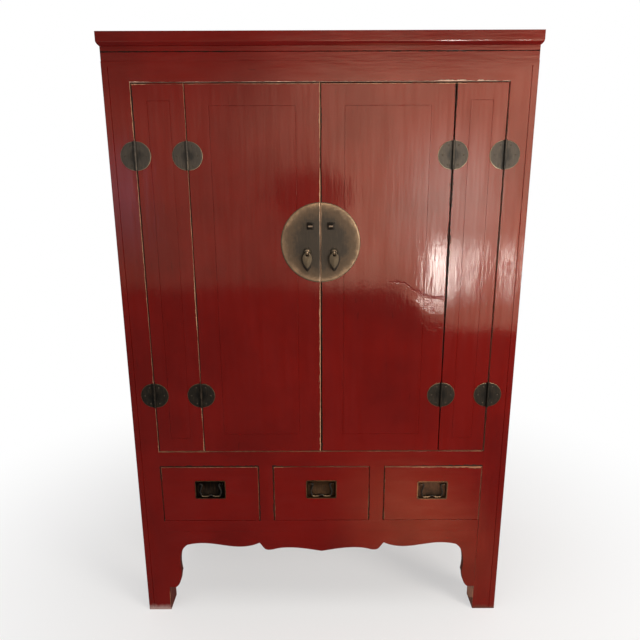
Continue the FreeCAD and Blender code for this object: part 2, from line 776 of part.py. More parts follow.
def make_cap_frame():
    """Four boards mitred at the corners, grooved inside for the top panel."""
    wide = half_width + cap_overhang
    inner_x = half_width - cap_board_width
    inner_back = case_depth - cap_board_width
    front = cap_profile(at(-wide, 0, cap_bottom), FreeCAD.Vector(0, -1, 0))
    front = front.extrude(FreeCAD.Vector(2 * wide, 0, 0))
    front = front.common(plan_slab([(-wide, -cap_overhang), (wide, -cap_overhang),
                                    (inner_x, cap_board_width), (-inner_x, cap_board_width)],
                                   cap_bottom, case_top))
    side = cap_profile(at(half_width, -cap_overhang, cap_bottom), FreeCAD.Vector(1, 0, 0))
    side = side.extrude(FreeCAD.Vector(0, case_depth + cap_overhang, 0))
    side = side.common(plan_slab([(wide, -cap_overhang), (wide, case_depth),
                                  (inner_x, inner_back), (inner_x, cap_board_width)],
                                 cap_bottom, case_top))
    back_board = plan_slab([(-wide, case_depth), (wide, case_depth), (inner_x, inner_back),
                            (-inner_x, inner_back)], cap_bottom, case_top)
    ends = both_sides([side])
    back_board = back_board.cut([cap_side_waste(1), cap_side_waste(-1)])
    groove = cap_tongue(groove_deep)
    return [board.cut(groove) for board in [front, back_board] + ends]


def cap_side_waste(side):
    """What the side moulding takes off the ends of the back board."""
    wide = half_width + cap_overhang
    face = cap_profile(at(half_width, 0, cap_bottom), FreeCAD.Vector(1, 0, 0))
    run = face.extrude(FreeCAD.Vector(0, case_depth, 0))
    outside = block(half_width, wide, 0, case_depth, cap_bottom, case_top).cut(run)
    return outside if side > 0 else mirrored(outside)


def cap_tongue(length):
    inner_x = half_width - cap_board_width
    top = case_top - cap_panel_thick / 2
    return block(-inner_x - length, inner_x + length, cap_board_width - length,
                 case_depth - cap_board_width + length, case_top - cap_panel_thick, top)


def make_cap_panel():
    inner_x = half_width - cap_board_width
    face = block(-inner_x, inner_x, cap_board_width, case_depth - cap_board_width,
                 case_top - cap_panel_thick / 2, case_top)
    return face.fuse(cap_tongue(groove_deep - wood_movement_gap)).removeSplitter()


def make_frieze():
    """Boards between the posts' tops and the cap. The front one has a scratched line."""
    wide = half_width - frieze_inset
    front = block(-wide, wide, frieze_inset, frieze_inset + frieze_thick, post_top, cap_bottom)
    line = post_top + frieze_line_height
    half = scratch_bead_width / 2
    groove = Part.makePolygon([at(-wide, -cut_overrun, line - half),
                               at(-wide, frieze_inset, line - half),
                               at(-wide, frieze_inset + scratch_bead_deep, line),
                               at(-wide, frieze_inset, line + half),
                               at(-wide, -cut_overrun, line + half),
                               at(-wide, -cut_overrun, line - half)])
    front = front.cut(Part.Face(groove).extrude(FreeCAD.Vector(2 * wide, 0, 0)))
    back = block(-wide, wide, case_depth - frieze_thick, case_depth, post_top, cap_bottom)
    end = block(wide - frieze_thick, wide, frieze_inset + frieze_thick, case_depth - frieze_thick,
                post_top, cap_bottom)
    return [front, back] + both_sides([end])


def divider_tenons():
    cheek = front_rail_thick * tenon_share
    return block(divider_inner_x + cheek, divider_outer_x - cheek, cheek, front_rail_thick - cheek,
                 drawer_bottom - divider_tenon, drawer_top + divider_tenon)


def make_divider():
    upright = block(divider_inner_x, divider_outer_x, 0, front_rail_thick,
                    drawer_bottom, drawer_top)
    return upright.fuse(divider_tenons()).removeSplitter()


def post_blocks():
    front = block(opening_half, half_width, 0, post_depth, 0, post_top)
    back = block(opening_half, half_width, case_depth - post_depth, case_depth, 0, post_top)
    return both_sides([front, back])


def make_cupboard_floor():
    """Floor board on the rails, notched round the posts. Its front edge stops the doors."""
    board = block(-side_panel_inner_x, side_panel_inner_x, door_thick + stop_gap,
                  back_panel_inner, door_bottom, door_bottom + cupboard_floor_thick)
    return board.cut(post_blocks())


shelf_low = door_bottom + shelf_height_above_floor - shelf_thick


def make_shelf():
    board = block(-side_panel_inner_x, side_panel_inner_x, post_depth, back_panel_inner,
                  shelf_low, shelf_low + shelf_thick)
    return board.cut(post_blocks())


def make_shelf_bearer():
    return block(side_panel_inner_x - bearer_width, side_panel_inner_x, post_depth,
                 case_depth - post_depth, shelf_low - bearer_height, shelf_low)


def make_runner(x_low, x_high, bear_low, bear_high):
    """Runner under two drawers, with a raised guide between them."""
    base = block(x_low - bear_low, x_high + bear_high, front_rail_thick, back_rail_start,
                 drawer_bottom - runner_thick, drawer_bottom)
    guide = block(x_low, x_high, front_rail_thick, back_rail_start,
                  drawer_bottom, drawer_bottom + guide_height)
    return base.fuse(guide).removeSplitter().cut(post_blocks())


def make_case():
    save("front_right_post", [make_front_post(hole_row(outer_hinge_x, 1))])
    save("front_left_post", [mirrored(make_front_post(hole_row(outer_hinge_x, 1)))])
    save("back_right_post", [make_back_post()])
    save("back_left_post", [mirrored(make_back_post())])
    mortises = both_sides([divider_tenons()])
    save("header_rail", [make_header_rail()])
    save("middle_rail", [cross_rail(0, front_rail_thick, drawer_top, door_bottom).cut(mortises)])
    save("lower_rail", [cross_rail(0, front_rail_thick, apron_top, drawer_bottom).cut(mortises)])
    save("drawer_dividers", both_sides([make_divider()]))
    save("apron", make_apron())
    save("cap_frame", make_cap_frame())
    save("cap_panel", [make_cap_panel()])
    save("frieze_boards", make_frieze())
    side_grooves = [side_groove(low, high) for low, high in panel_levels]
    back_grooves = [back_groove(low, high) for low, high in panel_levels]
    save("side_rails", both_sides([side_rail(low, high).cut(side_grooves)
                                   for low, high in rail_levels]))
    save("side_panels", both_sides([side_panel(low, high) for low, high in panel_levels]))
    save("back_rails", [cross_rail(back_rail_start, back_rail_thick, low, high).cut(back_grooves)
                        for low, high in rail_levels])
    save("back_panels", [back_panel(low, high) for low, high in panel_levels])
    save("cupboard_floor", [make_cupboard_floor()])
    save("shelf", [make_shelf()])
    save("shelf_bearers", both_sides([make_shelf_bearer()]))
    middle_runner = make_runner(divider_inner_x, divider_outer_x, runner_bearing, runner_bearing)
    end_runner = make_runner(opening_half, half_width - side_rail_thick, runner_bearing, 0)
    save("drawer_runners", both_sides([middle_runner, end_runner]))
    save("door_stop_strip", [block(-opening_half, opening_half, door_thick + stop_gap,
                                   front_rail_thick, door_top - stop_strip_height, door_top)])
    save("post_hinge_plates", both_sides(hinge_row(outer_hinge_x, 1, outer_knuckles)))
    pins = [hinge_pin(outer_hinge_x, z) for z in hinge_heights]
    save("post_hinge_fasteners", both_sides(pins + nail_row(outer_hinge_x, 1)))


def make_doors():
    pieces = {"leaf_frame": leaf_frame,
              "leaf_panel": [leaf_panel],
              "leaf_hinge_plates": leaf_plates,
              "leaf_hinge_fasteners": leaf_fasteners,
              "door_frame": door_frame,
              "door_panel": [door_panel],
              "door_hinge_plates": hinge_row(inner_hinge_x, -1, middle_knuckle),
              "door_hinge_nails": nail_row(inner_hinge_x, -1),
              "lock_plate": [make_lock_plate()],
              "lock_staple": [make_lock_staple(), make_staple_base()],
              "pull_eye": [make_pull_eye(), make_pull_boss()],
              "drop_pull": [make_drop_pull()]}
    for name, solids in pieces.items():
        save("right_" + name, solids)
        save("left_" + name, [mirrored(solid) for solid in solids])


def make_drawers():
    pull_level = drawer_bottom + pull_centre_above_rail
    openings = {"left": (-opening_half, -divider_outer_x, pull_level),
                "middle": (-divider_inner_x, divider_inner_x, pull_level),
                "right": (divider_outer_x, opening_half, pull_level - right_pull_lower)}
    for name, (x_low, x_high, pull_z) in openings.items():
        front, box, centre = make_drawer(x_low, x_high, pull_z)
        pivot_z = pull_z + bail_pivot_rise
        posts = [make_bail_post(across, pivot_z) for across in post_places(centre)]
        save(name + "_drawer_front", [front])
        save(name + "_drawer_box", box)
        save(name + "_drawer_pull_plate", [make_pull_plate(centre, pull_z)] + posts)
        save(name + "_drawer_bail", [make_bail(centre, pivot_z)])


make_case()
make_doors()
make_drawers()
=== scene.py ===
import bpy
import bmesh
import json
import math
from mathutils import Euler, Matrix, Vector


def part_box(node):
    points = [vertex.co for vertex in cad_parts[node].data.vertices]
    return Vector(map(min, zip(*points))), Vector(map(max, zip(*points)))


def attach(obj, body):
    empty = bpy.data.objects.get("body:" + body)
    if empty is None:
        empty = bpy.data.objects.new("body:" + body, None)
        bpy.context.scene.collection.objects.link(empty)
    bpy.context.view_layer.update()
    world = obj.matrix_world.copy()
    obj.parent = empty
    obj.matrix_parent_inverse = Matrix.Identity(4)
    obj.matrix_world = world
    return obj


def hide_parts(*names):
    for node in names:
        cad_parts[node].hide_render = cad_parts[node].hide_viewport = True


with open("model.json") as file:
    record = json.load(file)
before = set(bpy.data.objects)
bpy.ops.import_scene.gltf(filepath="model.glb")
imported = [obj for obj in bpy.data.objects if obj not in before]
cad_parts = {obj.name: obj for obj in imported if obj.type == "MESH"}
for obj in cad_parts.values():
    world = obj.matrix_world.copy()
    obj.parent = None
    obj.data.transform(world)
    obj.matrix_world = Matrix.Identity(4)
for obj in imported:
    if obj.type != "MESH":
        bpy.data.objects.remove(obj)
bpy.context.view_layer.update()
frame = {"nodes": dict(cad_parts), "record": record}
solids = frame["nodes"]
body_of_node = {node: body for body, group in frame["record"]["behaviour"]["bodies"].items()
                for node in group}
left_right = (("left", -1), ("right", 1))

# The view. The photographer stood in front of the doors, a little left of the middle, and held
# the camera at chest height, tilted down, so that the sides run together towards the floor.
view_place = Vector((-0.0032, -1.83515, 1.3930))
view_tilt_down, view_turn, view_roll = 0.2346, -0.0003, -0.0035
camera = bpy.data.cameras.new("view")
camera.lens = 539.93 / 640 * camera.sensor_width
view = bpy.data.objects.new("view", camera)
view.rotation_euler = (Euler((math.pi / 2 - view_tilt_down, 0, view_turn)).to_matrix()
                       @ Matrix.Rotation(view_roll, 3, "Z")).to_euler()
view.location = view_place
bpy.context.scene.collection.objects.link(view)
bpy.context.scene.camera = view


# Posts and rails of the case. Square posts run down to the floor; rails are tenoned into them,
# and the one over the doors is mitred at its ends. All of it is lacquered red over a dark
# ground, and the arrises round the openings are rubbed through to the pale wood.
front_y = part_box("header_rail")[0].y
mm = 0.001


def new_group(name, inputs, outputs, made_for="ShaderNodeTree"):
    """A node group. Each input is a name, a kind and perhaps a value to start from."""
    group = bpy.data.node_groups.new(name, made_for)
    for way, sockets in (("INPUT", inputs), ("OUTPUT", outputs)):
        for word, kind, *start in sockets:
            made = group.interface.new_socket(name=word, in_out=way,
                                              socket_type="NodeSocket" + kind)
            if start:
                made.default_value = start[0]
    return group


def add(tree, kind, **given):
    """Adds a shader node. Words that end in _ are settings; the others are its inputs by name."""
    made = tree.nodes.new(kind if kind.startswith("Node") else "ShaderNode" + kind)
    for word in [w for w in given if w.endswith("_")]:
        value = given.pop(word)
        setattr(made, "node_tree" if word == "tree_" else word[:-1], value)
    return join(made, **given)


def join(node, **given):
    """Links or sets a node's inputs, which are given by name or, as i0, i1 and so on, by place."""
    for word, value in given.items():
        place = int(word[1:]) if word[0] == "i" and word[1:].isdigit() else word.replace("_", " ")
        if isinstance(value, bpy.types.NodeSocket):
            node.id_data.links.new(value, node.inputs[place])
        elif node.inputs[place].type == "RGBA":
            node.inputs[place].default_value = (*value, 1)
        else:
            node.inputs[place].default_value = value
    return node


def tree_of(*values):
    return next(value.id_data for value in values if isinstance(value, bpy.types.NodeSocket))


def arithmetic(how):
    """A function that adds one step of arithmetic to the tree that its values come from."""
    def step(*values):
        given = {f"i{place}": value for place, value in enumerate(values)}
        return add(tree_of(*values), "Math", operation_=how, **given).outputs[0]
    return step


plus, minus, times, over = [arithmetic(how) for how in ("ADD", "SUBTRACT", "MULTIPLY", "DIVIDE")]
least, most, power = [arithmetic(how) for how in ("MINIMUM", "MAXIMUM", "POWER")]
unsigned, times_plus = arithmetic("ABSOLUTE"), arithmetic("MULTIPLY_ADD")


def ramp(value, low, high, start=0.0, end=1.0):
    """A smooth step of value from start at low to end at high."""
    return add(value.id_data, "MapRange", interpolation_type_="SMOOTHSTEP", Value=value,
               From_Min=low, From_Max=high, To_Min=start, To_Max=end).outputs[0]


def mixed(share, one, other):
    tree = tree_of(share, one, other)
    return add(tree, "Mix", data_type_="RGBA", i0=share, i6=one, i7=other).outputs[2]


def speckle(point, scale, detail=3.0, rough=0.55, spread=0.0):
    return add(point.id_data, "TexNoise", Vector=point, Scale=scale, Detail=detail,
               Roughness=rough, Distortion=spread).outputs[0]


def vectors(how, one, other=(0, 0, 0)):
    return add(one.id_data, "VectorMath", operation_=how, i0=one, i1=other).outputs[0]


def parts(point):
    """A place's x, y and z."""
    return add(point.id_data, "SeparateXYZ", Vector=point).outputs


def make_rubbed_outline():
    """How far the rim of an opening or a board is rubbed, from the rim's two corners."""
    group = new_group("rubbed outline",
                      [("Point", "Vector"), ("Low corner", "Vector"), ("High corner", "Vector"),
                       ("Reach", "Float", 0.003), ("Face depth", "Float", 0.006)],
                      [("Rubbed", "Float")])
    point, low, high, given_reach, face_depth = add(group, "NodeGroupInput").outputs[:5]
    half = (0.5, 0.5, 0.5)
    middle = vectors("MULTIPLY", vectors("ADD", low, high), half)
    size = vectors("MULTIPLY", vectors("SUBTRACT", high, low), half)
    away = vectors("ABSOLUTE", vectors("SUBTRACT", point, middle))
    beyond = parts(vectors("SUBTRACT", away, size))
    gap = unsigned(most(beyond[0], beyond[2]))
    reach = ramp(speckle(point, 7.0, 2.0), 0.3, 0.68, 0.25, 1.5)
    ragged = ramp(speckle(point, 75.0, 2.0), 0.3, 0.7, 0.6, 1.4)
    reach = times(times(reach, given_reach), ragged)
    near = most(minus(1.0, over(gap, reach)), 0.0)
    depth = minus(parts(point)[1], parts(low)[1])
    shown = minus(1.0, over(depth, face_depth))
    shown = least(most(shown, 0.0), 1.0)
    add(group, "NodeGroupOutput", i0=times(near, shown))
    return group


def make_lacquer_coat():
    """Red lacquer brushed over a dark ground. Rubbed bares the wood, Chipped the ground."""
    group = new_group("lacquer coat",
                      [("Point", "Vector"), ("Grain", "Vector", (1, 1, 1)), ("Red", "Color"),
                       ("Deep red", "Color"), ("Ground", "Color"), ("Wood", "Color"),
                       ("Rubbed", "Float"), ("Chipped", "Float"), ("Gloss", "Float", 0.055)],
                      [("Color", "Color"), ("Roughness", "Float"), ("Height", "Float"),
                       ("Varnish", "Float")])
    given = add(group, "NodeGroupInput").outputs
    point, grain, red, deep, ground, wood, rubbed, chipped, gloss = given[:9]
    run = vectors("MULTIPLY", point, grain)
    easy = add(group, "Mix", data_type_="VECTOR", i0=0.2, i4=run, i5=point).outputs[1]
    blotch = speckle(point, 3.1, 5.0, 0.6)
    streak = speckle(run, 42.0, 3.0, 0.55, 0.4)
    hair = speckle(run, 190.0, 2.0, 0.5)
    swell = speckle(easy, 13.0, 2.0, 0.45, 0.25)
    sway = speckle(point, 3.6, 1.0, 0.4)
    comb = speckle(run, 95.0, 2.0, 0.6, 0.5)
    ripple = speckle(vectors("MULTIPLY", point, (1, 1, 0.6)), 130.0, 2.0, 0.5, 0.6)
    colour = mixed(ramp(blotch, 0.36, 0.70), red, deep)
    colour = mixed(ramp(streak, 0.50, 0.8, 0.0, 0.4), colour, deep)
    crack = times(ramp(hair, 0.70, 0.74), ramp(blotch, 0.5, 0.62))
    colour = mixed(times(crack, 0.3), colour, ground)
    fine = minus(speckle(point, 260.0, 3.0, 0.6), 0.5)
    chip = times(times_plus(fine, 0.9, chipped), ramp(chipped, 0.0, 0.12))
    chip = ramp(chip, 0.16, 0.30)
    rub = times(times_plus(fine, 0.9, rubbed), ramp(rubbed, 0.0, 0.12))
    under, bare = ramp(rub, 0.14, 0.28), ramp(rub, 0.26, 0.44)
    figure = ramp(speckle(run, 120.0, 2.0), 0.35, 0.65, 0.0, 0.35)
    colour = mixed(most(chip, under), colour, ground)
    colour = mixed(bare, colour, mixed(figure, wood, ground))
    rough = plus(gloss, ramp(blotch, 0.35, 0.75, 0.0, 0.03))
    rough = plus(rough, ramp(streak, 0.45, 0.8, 0.0, 0.02))
    rough = times_plus(most(bare, chip), 0.4, rough)
    height = times_plus(sway, 0.6, times(swell, 0.26))
    for mark, rise in ((streak, 0.036), (comb, 0.05), (hair, 0.045), (ripple, 0.042),
                       (most(chip, under), -0.14), (crack, -0.01)):
        height = times_plus(mark, rise, height)
    brushed = speckle(vectors("MULTIPLY", run, (1, 1, 0.5)), 75.0, 3.0, 0.65)
    varnish = times(ramp(brushed, 0.34, 0.68), ramp(blotch, 0.3, 0.7, 0.06, 0.025))
    varnish = times(varnish, minus(1.0, bare))
    add(group, "NodeGroupOutput", i0=colour, i1=rough, i2=height, i3=varnish)
    return group


rubbed_outline = make_rubbed_outline()
lacquer_coat = make_lacquer_coat()
lacquer_red, lacquer_deep = (0.154, 0.0026, 0.0010), (0.110, 0.0016, 0.0008)
dark_ground, bare_wood = (0.010, 0.0016, 0.0009), (0.46, 0.235, 0.13)
grain_up, grain_across, grain_deep = (1, 1, 0.1), (0.1, 1, 1), (1, 0.1, 1)
lacquer_shine, lacquer_tint, coat_relief = 0.082, (1.0, 0.86, 0.76), 2.4 * mm
# Heights over which a two-valued reach grows: the dark band at the right door's seam with its
# leaf, chipped ground and painted shadow, widens upwards.
reach_heights = (0.90, 1.32)


def new_finish(name):
    """A new material, its nodes, its surface and the place on the piece."""
    finish = bpy.data.materials.new(name)
    finish.use_nodes = True
    tree = finish.node_tree
    return finish, tree, tree.nodes["Principled BSDF"], add(tree, "TexCoord").outputs["Object"]


def worn_at(point, low, high, reach, face_depth=0.006):
    """How far the place is worn by the outline with these two corners."""
    return add(point.id_data, "Group", tree_=rubbed_outline, Point=point, Low_corner=low,
               High_corner=high, Reach=reach, Face_depth=face_depth).outputs[0]


def lacquer(name, grain, rims=(), chips=(), arris=0.12, foot=None, wood=bare_wood, split=None):
    """A lacquer finish. A rim or chip is the outline of an opening or board: its low corner, its
    high corner and how far from it the coat is worn, to the wood or to the dark ground. Along the
    doors' seams and opening the dark ground is both chipping and painted shadow of the gaps. A
    reach may be two values, below and above the two heights in reach_heights. A foot is a height
    up to which the coat is scuffed, and the colour it has there. A split is a crease in the coat:
    its start, its end and how far the coat bulges below it."""
    finish, tree, surface, point = new_finish(name)
    worn = add(tree, "Attribute", attribute_name_="arris").outputs["Fac"]
    patchy = ramp(speckle(point, 11.0, 3.0), 0.36, 0.62)
    worn = times(times(worn, arris), patchy)
    across, depth, up = parts(point)
    chipped = 0.0
    for rim in rims:
        worn = most(worn, worn_at(point, *rim))
    for low, high, reach in chips:
        if isinstance(reach, tuple):
            reach = ramp(up, *reach_heights, *reach)
        chipped = most(chipped, worn_at(point, low, high, reach))
    coat = add(tree, "Group", tree_=lacquer_coat, Point=point, Grain=grain, Red=lacquer_red,
               Deep_red=lacquer_deep, Ground=dark_ground, Wood=wood, Rubbed=worn, Chipped=chipped)
    colour, height = coat.outputs[0], coat.outputs[2]
    if foot:
        scuff_height, scuff_colour = foot
        scuffs = times_plus(speckle(point, 60.0, 4.0, 0.65), 0.026, up)
        scuffs = ramp(scuffs, scuff_height, scuff_height + 0.020, 1.0, 0.0)
        colour = mixed(scuffs, colour, scuff_colour)
        height = times_plus(scuffs, -0.2, height)
    if split:
        (start_x, start_z), (end_x, end_z), bulge = split
        way = over(minus(across, start_x), end_x - start_x)
        line = times_plus(ramp(way, 0.1, 0.8), end_z - start_z, start_z)
        line = times_plus(speckle(point, 55.0, 4.0, 0.7), 0.028, line)
        off = minus(up, minus(line, 0.014))
        held = ramp(way, 0.0, 0.25)
        gap = ramp(unsigned(off), 0.0, 0.005, -0.27, 0.0)
        wavy = times_plus(speckle(point, 24.0, 3.0), 0.05, minus(off, 0.025))
        swollen = times(ramp(wavy, -0.056, -0.004, bulge, 0.0), ramp(wavy, -0.13, -0.058))
        swollen = times(swollen, ramp(way, 0.25, 0.6))
        height = times_plus(plus(gap, swollen), held, height)
    relief = add(tree, "Bump", Strength=1.0, Distance=coat_relief, Height=height)
    join(surface, Base_Color=colour, Roughness=coat.outputs[1], Normal=relief.outputs[0],
         Coat_Weight=coat.outputs[3], Coat_Roughness=0.12, Specular_IOR_Level=lacquer_shine,
         Specular_Tint=lacquer_tint)
    return finish


def flat_faces(node):
    """A copy of a solid's mesh, its loose triangles joined into flat faces."""
    work = bmesh.new()
    work.from_mesh(solids[node].data)
    bmesh.ops.remove_doubles(work, verts=work.verts, dist=2e-6)
    bmesh.ops.dissolve_limit(work, angle_limit=math.radians(0.3), verts=work.verts,
                             edges=work.edges)
    return work


def ease(work, width, wanted=None, shortest=6 * mm):
    """Rounds the sharp arrises, and marks the middle of each with the value arris."""
    mark = work.verts.layers.float.get("arris") or work.verts.layers.float.new("arris")
    chosen = [edge for edge in work.edges
              if len(edge.link_faces) == 2 and edge.is_convex and edge.calc_length() > shortest
              and edge.calc_face_angle() > math.radians(35)
              and (wanted is None or wanted(edge))]
    made = bmesh.ops.bevel(work, geom=chosen, offset=width, segments=2, profile=0.5,
                           affect="EDGES", clamp_overlap=True)
    rounded = set(made["faces"])
    for vert in made["verts"]:
        if all(face in rounded for face in vert.link_faces):
            vert[mark] = 1.0


def piece(name, work, finishes, node, smooth=False):
    """Turns a worked mesh into a finished piece that stands for the solid."""
    mesh = bpy.data.meshes.new(name)
    work.to_mesh(mesh)
    work.free()
    for finish in finishes:
        mesh.materials.append(finish)
    if smooth:
        mesh.shade_smooth()
        mesh.set_sharp_from_angle(angle=math.radians(38))
    made = bpy.data.objects.new(name, mesh)
    bpy.context.scene.collection.objects.link(made)
    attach(made, body_of_node[node])
    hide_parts(node)


def at_front(edge):
    return all(vert.co.y < front_y + 0.2 * mm for vert in edge.verts)


def lacquered(node, finish, backing=None, worn=1.2 * mm, wanted=at_front, foot=0.0,
              backed=lambda face: face.normal.y > 0.9, cuts=()):
    """A lacquered board. The arrises that are wanted are worn rounder than the rest, and the
    faces that are backed have the backing's finish. Cuts are planes, each a place and a
    direction, at which the coat ends on a face that runs on."""
    work = flat_faces(node)
    ease(work, worn, wanted)
    if foot:
        ease(work, foot, lambda edge: all(vert.co.z < 0.1 * mm for vert in edge.verts))
    ease(work, 0.5 * mm, lambda edge: not at_front(edge)
         and min(vert.co.z for vert in edge.verts) > 0.1 * mm)
    if backing:
        for place, way in cuts:
            bmesh.ops.bisect_plane(work, geom=[*work.verts, *work.edges, *work.faces],
                                   plane_co=place, plane_no=way)
        for face in work.faces:
            face.material_index = int(backed(face))
    piece("lacquered_" + node, work, [finish] + ([backing] if backing else []), node)


def outline(low, high, reach):
    return Vector((low.x, front_y, low.z)), Vector((high.x, front_y, high.z)), reach


opening_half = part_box("front_right_post")[0].x
sill_z, lintel_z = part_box("middle_rail")[1].z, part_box("header_rail")[0].z
drawer_low_z, drawer_high_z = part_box("lower_rail")[1].z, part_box("middle_rail")[0].z
drawer_play = 1.5 * mm
openings = [(Vector((-opening_half, front_y, sill_z)), Vector((opening_half, front_y, lintel_z)))]
for name in ("left", "middle", "right"):
    low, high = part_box(name + "_drawer_front")
    openings.append((Vector((low.x - drawer_play, front_y, drawer_low_z)),
                     Vector((high.x + drawer_play, front_y, drawer_high_z))))


def beside(way, place, low, high):
    """Says of an edge whether it is a front arris at this place along x or z, and between the
    two corners' places along the other."""
    other = 2 - way
    return lambda edge: (at_front(edge)
                         and all(abs(vert.co[way] - place) < 0.3 * mm for vert in edge.verts)
                         and min(vert.co[other] for vert in edge.verts) > low[other] - mm
                         and max(vert.co[other] for vert in edge.verts) < high[other] + mm)


def along(outlines):
    """Says of an edge whether it is a front arris that lies on one of the outlines."""
    sides = [beside(way, corner[way], low, high) for low, high in outlines
             for corner in (low, high) for way in (0, 2)]
    return lambda edge: any(side(edge) for side in sides)


far = 9


def side_line(x, reach):
    """An outline that only has an upright side, at x."""
    return Vector((x, front_y, -far)), Vector((x + far, front_y, far)), reach


def top_line(z, reach):
    """An outline that only has a level side, at z."""
    return Vector((-far, front_y, z)), Vector((far, front_y, z + far)), reach


round_openings = along(openings)
case_half = 590 * mm


def at_corner(edge):
    """True for the outer front arris of a post."""
    return at_front(edge) and all(abs(vert.co.x) > case_half - mm for vert in edge.verts)


def make_bare_grain():
    """Planed softwood: long growth lines, dark pores and the brown of age."""
    group = new_group("bare grain",
                      [("Point", "Vector"), ("Grain", "Vector", (1, 1, 1)), ("Pale", "Color"),
                       ("Brown", "Color")],
                      [("Color", "Color"), ("Roughness", "Float"), ("Height", "Float")])
    point, grain, pale, brown = add(group, "NodeGroupInput").outputs[:4]
    run = vectors("MULTIPLY", point, grain)
    rings = speckle(run, 22.0, 5.0, 0.6, 1.6)
    pores = speckle(run, 190.0, 2.0, 0.6)
    cloud = speckle(point, 2.4, 4.0, 0.6)
    colour = mixed(ramp(rings, 0.36, 0.66), pale, brown)
    colour = mixed(ramp(cloud, 0.4, 0.75, 0.0, 0.6), colour, brown)
    dark = mixed(0.75, brown, (0.02, 0.012, 0.008))
    colour = mixed(ramp(pores, 0.58, 0.7, 0.0, 0.7), colour, dark)
    rough = ramp(rings, 0.3, 0.7, 0.55, 0.72)
    height = times_plus(pores, 0.5, rings)
    add(group, "NodeGroupOutput", i0=colour, i1=rough, i2=height)
    return group


def bare(name, grain, pale, brown, shine=0.25, dark_below=None):
    """Wood without a coat. A dark_below is a height and a colour: the wood takes that colour below
    an edge that starts at that height in front and runs down backwards."""
    finish, tree, surface, point = new_finish(name)
    look = add(tree, "Group", tree_=bare_grain, Point=point, Grain=grain, Pale=pale, Brown=brown)
    relief = add(tree, "Bump", Strength=0.5, Distance=0.0006, Height=look.outputs[2])
    colour = look.outputs[0]
    if dark_below:
        across, depth, up = parts(point)
        up = times_plus(minus(depth, front_y), 0.8, up)
        up = times_plus(speckle(point, 90.0), 0.014, up)
        colour = mixed(ramp(up, dark_below[0] + 0.003, dark_below[0] + 0.009), dark_below[1], colour)
    join(surface, Base_Color=colour, Roughness=look.outputs[1], Normal=relief.outputs[0],
         Specular_IOR_Level=shine)
    return finish


door_rim = outline(*openings[0], 1.9 * mm)
drawer_chips = [outline(*at, 2.2 * mm) for at in openings[1:]]
pale_wood, brown_wood = (0.68, 0.43, 0.32), (0.32, 0.14, 0.075)
bared_leg_height = 72 * mm
left_arris = (Vector((-opening_half, front_y, -far)), Vector((far, front_y, bared_leg_height)),
              1.7 * mm)
left_case = lacquer("lacquer on the left posts", grain_up, [door_rim, left_arris], drawer_chips,
                    foot=(17 * mm, (0.40, 0.26, 0.235)))
# The dark band round the doors' opening on the right posts is chipped ground and also painted
# shadow of the gap.
right_case = lacquer("lacquer on the right posts", grain_up,
                     chips=[outline(*openings[0], 1.6 * mm)],
                     foot=(12 * mm, (0.105, 0.030, 0.019)))
between_case = lacquer("lacquer on the dividers", grain_up, chips=drawer_chips)
knocked = [(Vector((from_x, front_y, -far)), Vector((far, front_y, lintel_z)), reach)
           for from_x, reach in ((0.31, 4.4 * mm), (0.425, 6.8 * mm))]
header_case = lacquer("lacquer on the header", grain_across,
                      [outline(*openings[0], 2.0 * mm)] + knocked, wood=pale_wood)
middle_case = lacquer("lacquer on the middle rail", grain_across,
                      [outline(*openings[0], 1.3 * mm)],
                      [outline(*at, 3.6 * mm) for at in openings[1:]], wood=brown_wood)
lower_case = lacquer("lacquer on the lower rail", grain_across)
bare_grain = make_bare_grain()
leg_brown = bare("browned wood of the left leg", grain_up, (0.095, 0.016, 0.009),
                 (0.050, 0.009, 0.005), shine=0.03)
# The right leg's bared wood is paler than the other bare wood: bared wood, brightened as painted
# light on the leg's inner face. Below a height in front that sinks towards the back it takes a
# darker colour.
right_leg_pale = bare("bared wood of the right leg", grain_up, (0.56, 0.30, 0.21),
                       (0.38, 0.18, 0.12), shine=0.03,
                       dark_below=(44 * mm, (0.085, 0.028, 0.020)))


def inside_leg(face):
    """True for the face of a post that looks inwards, at the other side's post."""
    middle = face.calc_center_median()
    return face.normal.x * middle.x < -0.9 * abs(middle.x)


panel_face_x, leg_top_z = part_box("side_panels")[1].x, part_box("side_rails")[0].z


def inside_back_post(face):
    """True for the faces of a back post that look inwards or, inside the case, forwards."""
    middle = face.calc_center_median()
    return inside_leg(face) or (face.normal.y < -0.9 and abs(middle.x) < panel_face_x
                                and middle.z > leg_top_z)


inside_pale, inside_brown = (0.37, 0.21, 0.105), (0.19, 0.092, 0.042)
bare_across = bare("bare backs across", grain_across, inside_pale, inside_brown)
side_inside = bare("bare insides of the sides", grain_up, inside_pale, inside_brown)
for (side, sign), finish in zip(left_right, (left_case, right_case)):
    leg = leg_brown if side == "left" else right_leg_pale
    lacquered(f"front_{side}_post", finish, leg, foot=10.0 * mm, backed=inside_leg,
              wanted=lambda edge: round_openings(edge) or at_corner(edge))
    lacquered(f"back_{side}_post", finish, side_inside, foot=10.0 * mm,
              backed=inside_back_post, wanted=at_corner,
              cuts=[(Vector((sign * panel_face_x, 0, 0)), Vector((1, 0, 0))),
                    (Vector((0, 0, leg_top_z)), Vector((0, 0, 1)))])
for node, finish in (("drawer_dividers", between_case), ("header_rail", header_case),
                     ("middle_rail", middle_case)):
    lacquered(node, finish, bare_across, wanted=round_openings)
lacquered("lower_rail", lower_case, bare_across, worn=0.3 * mm)


# The top: four boards with a moulded edge, mitred at the corners, and a flat board let into
# them. Plain frieze boards close the space between the posts' heads and the top. All are
# lacquered outside and bare where they look into the cupboard.
frieze_line_z = 1756.6 * mm
plain_across = lacquer("lacquer across", grain_across)
lined_across = lacquer("lacquer on the frieze", grain_across,
                       chips=[top_line(frieze_line_z, 1.6 * mm)])


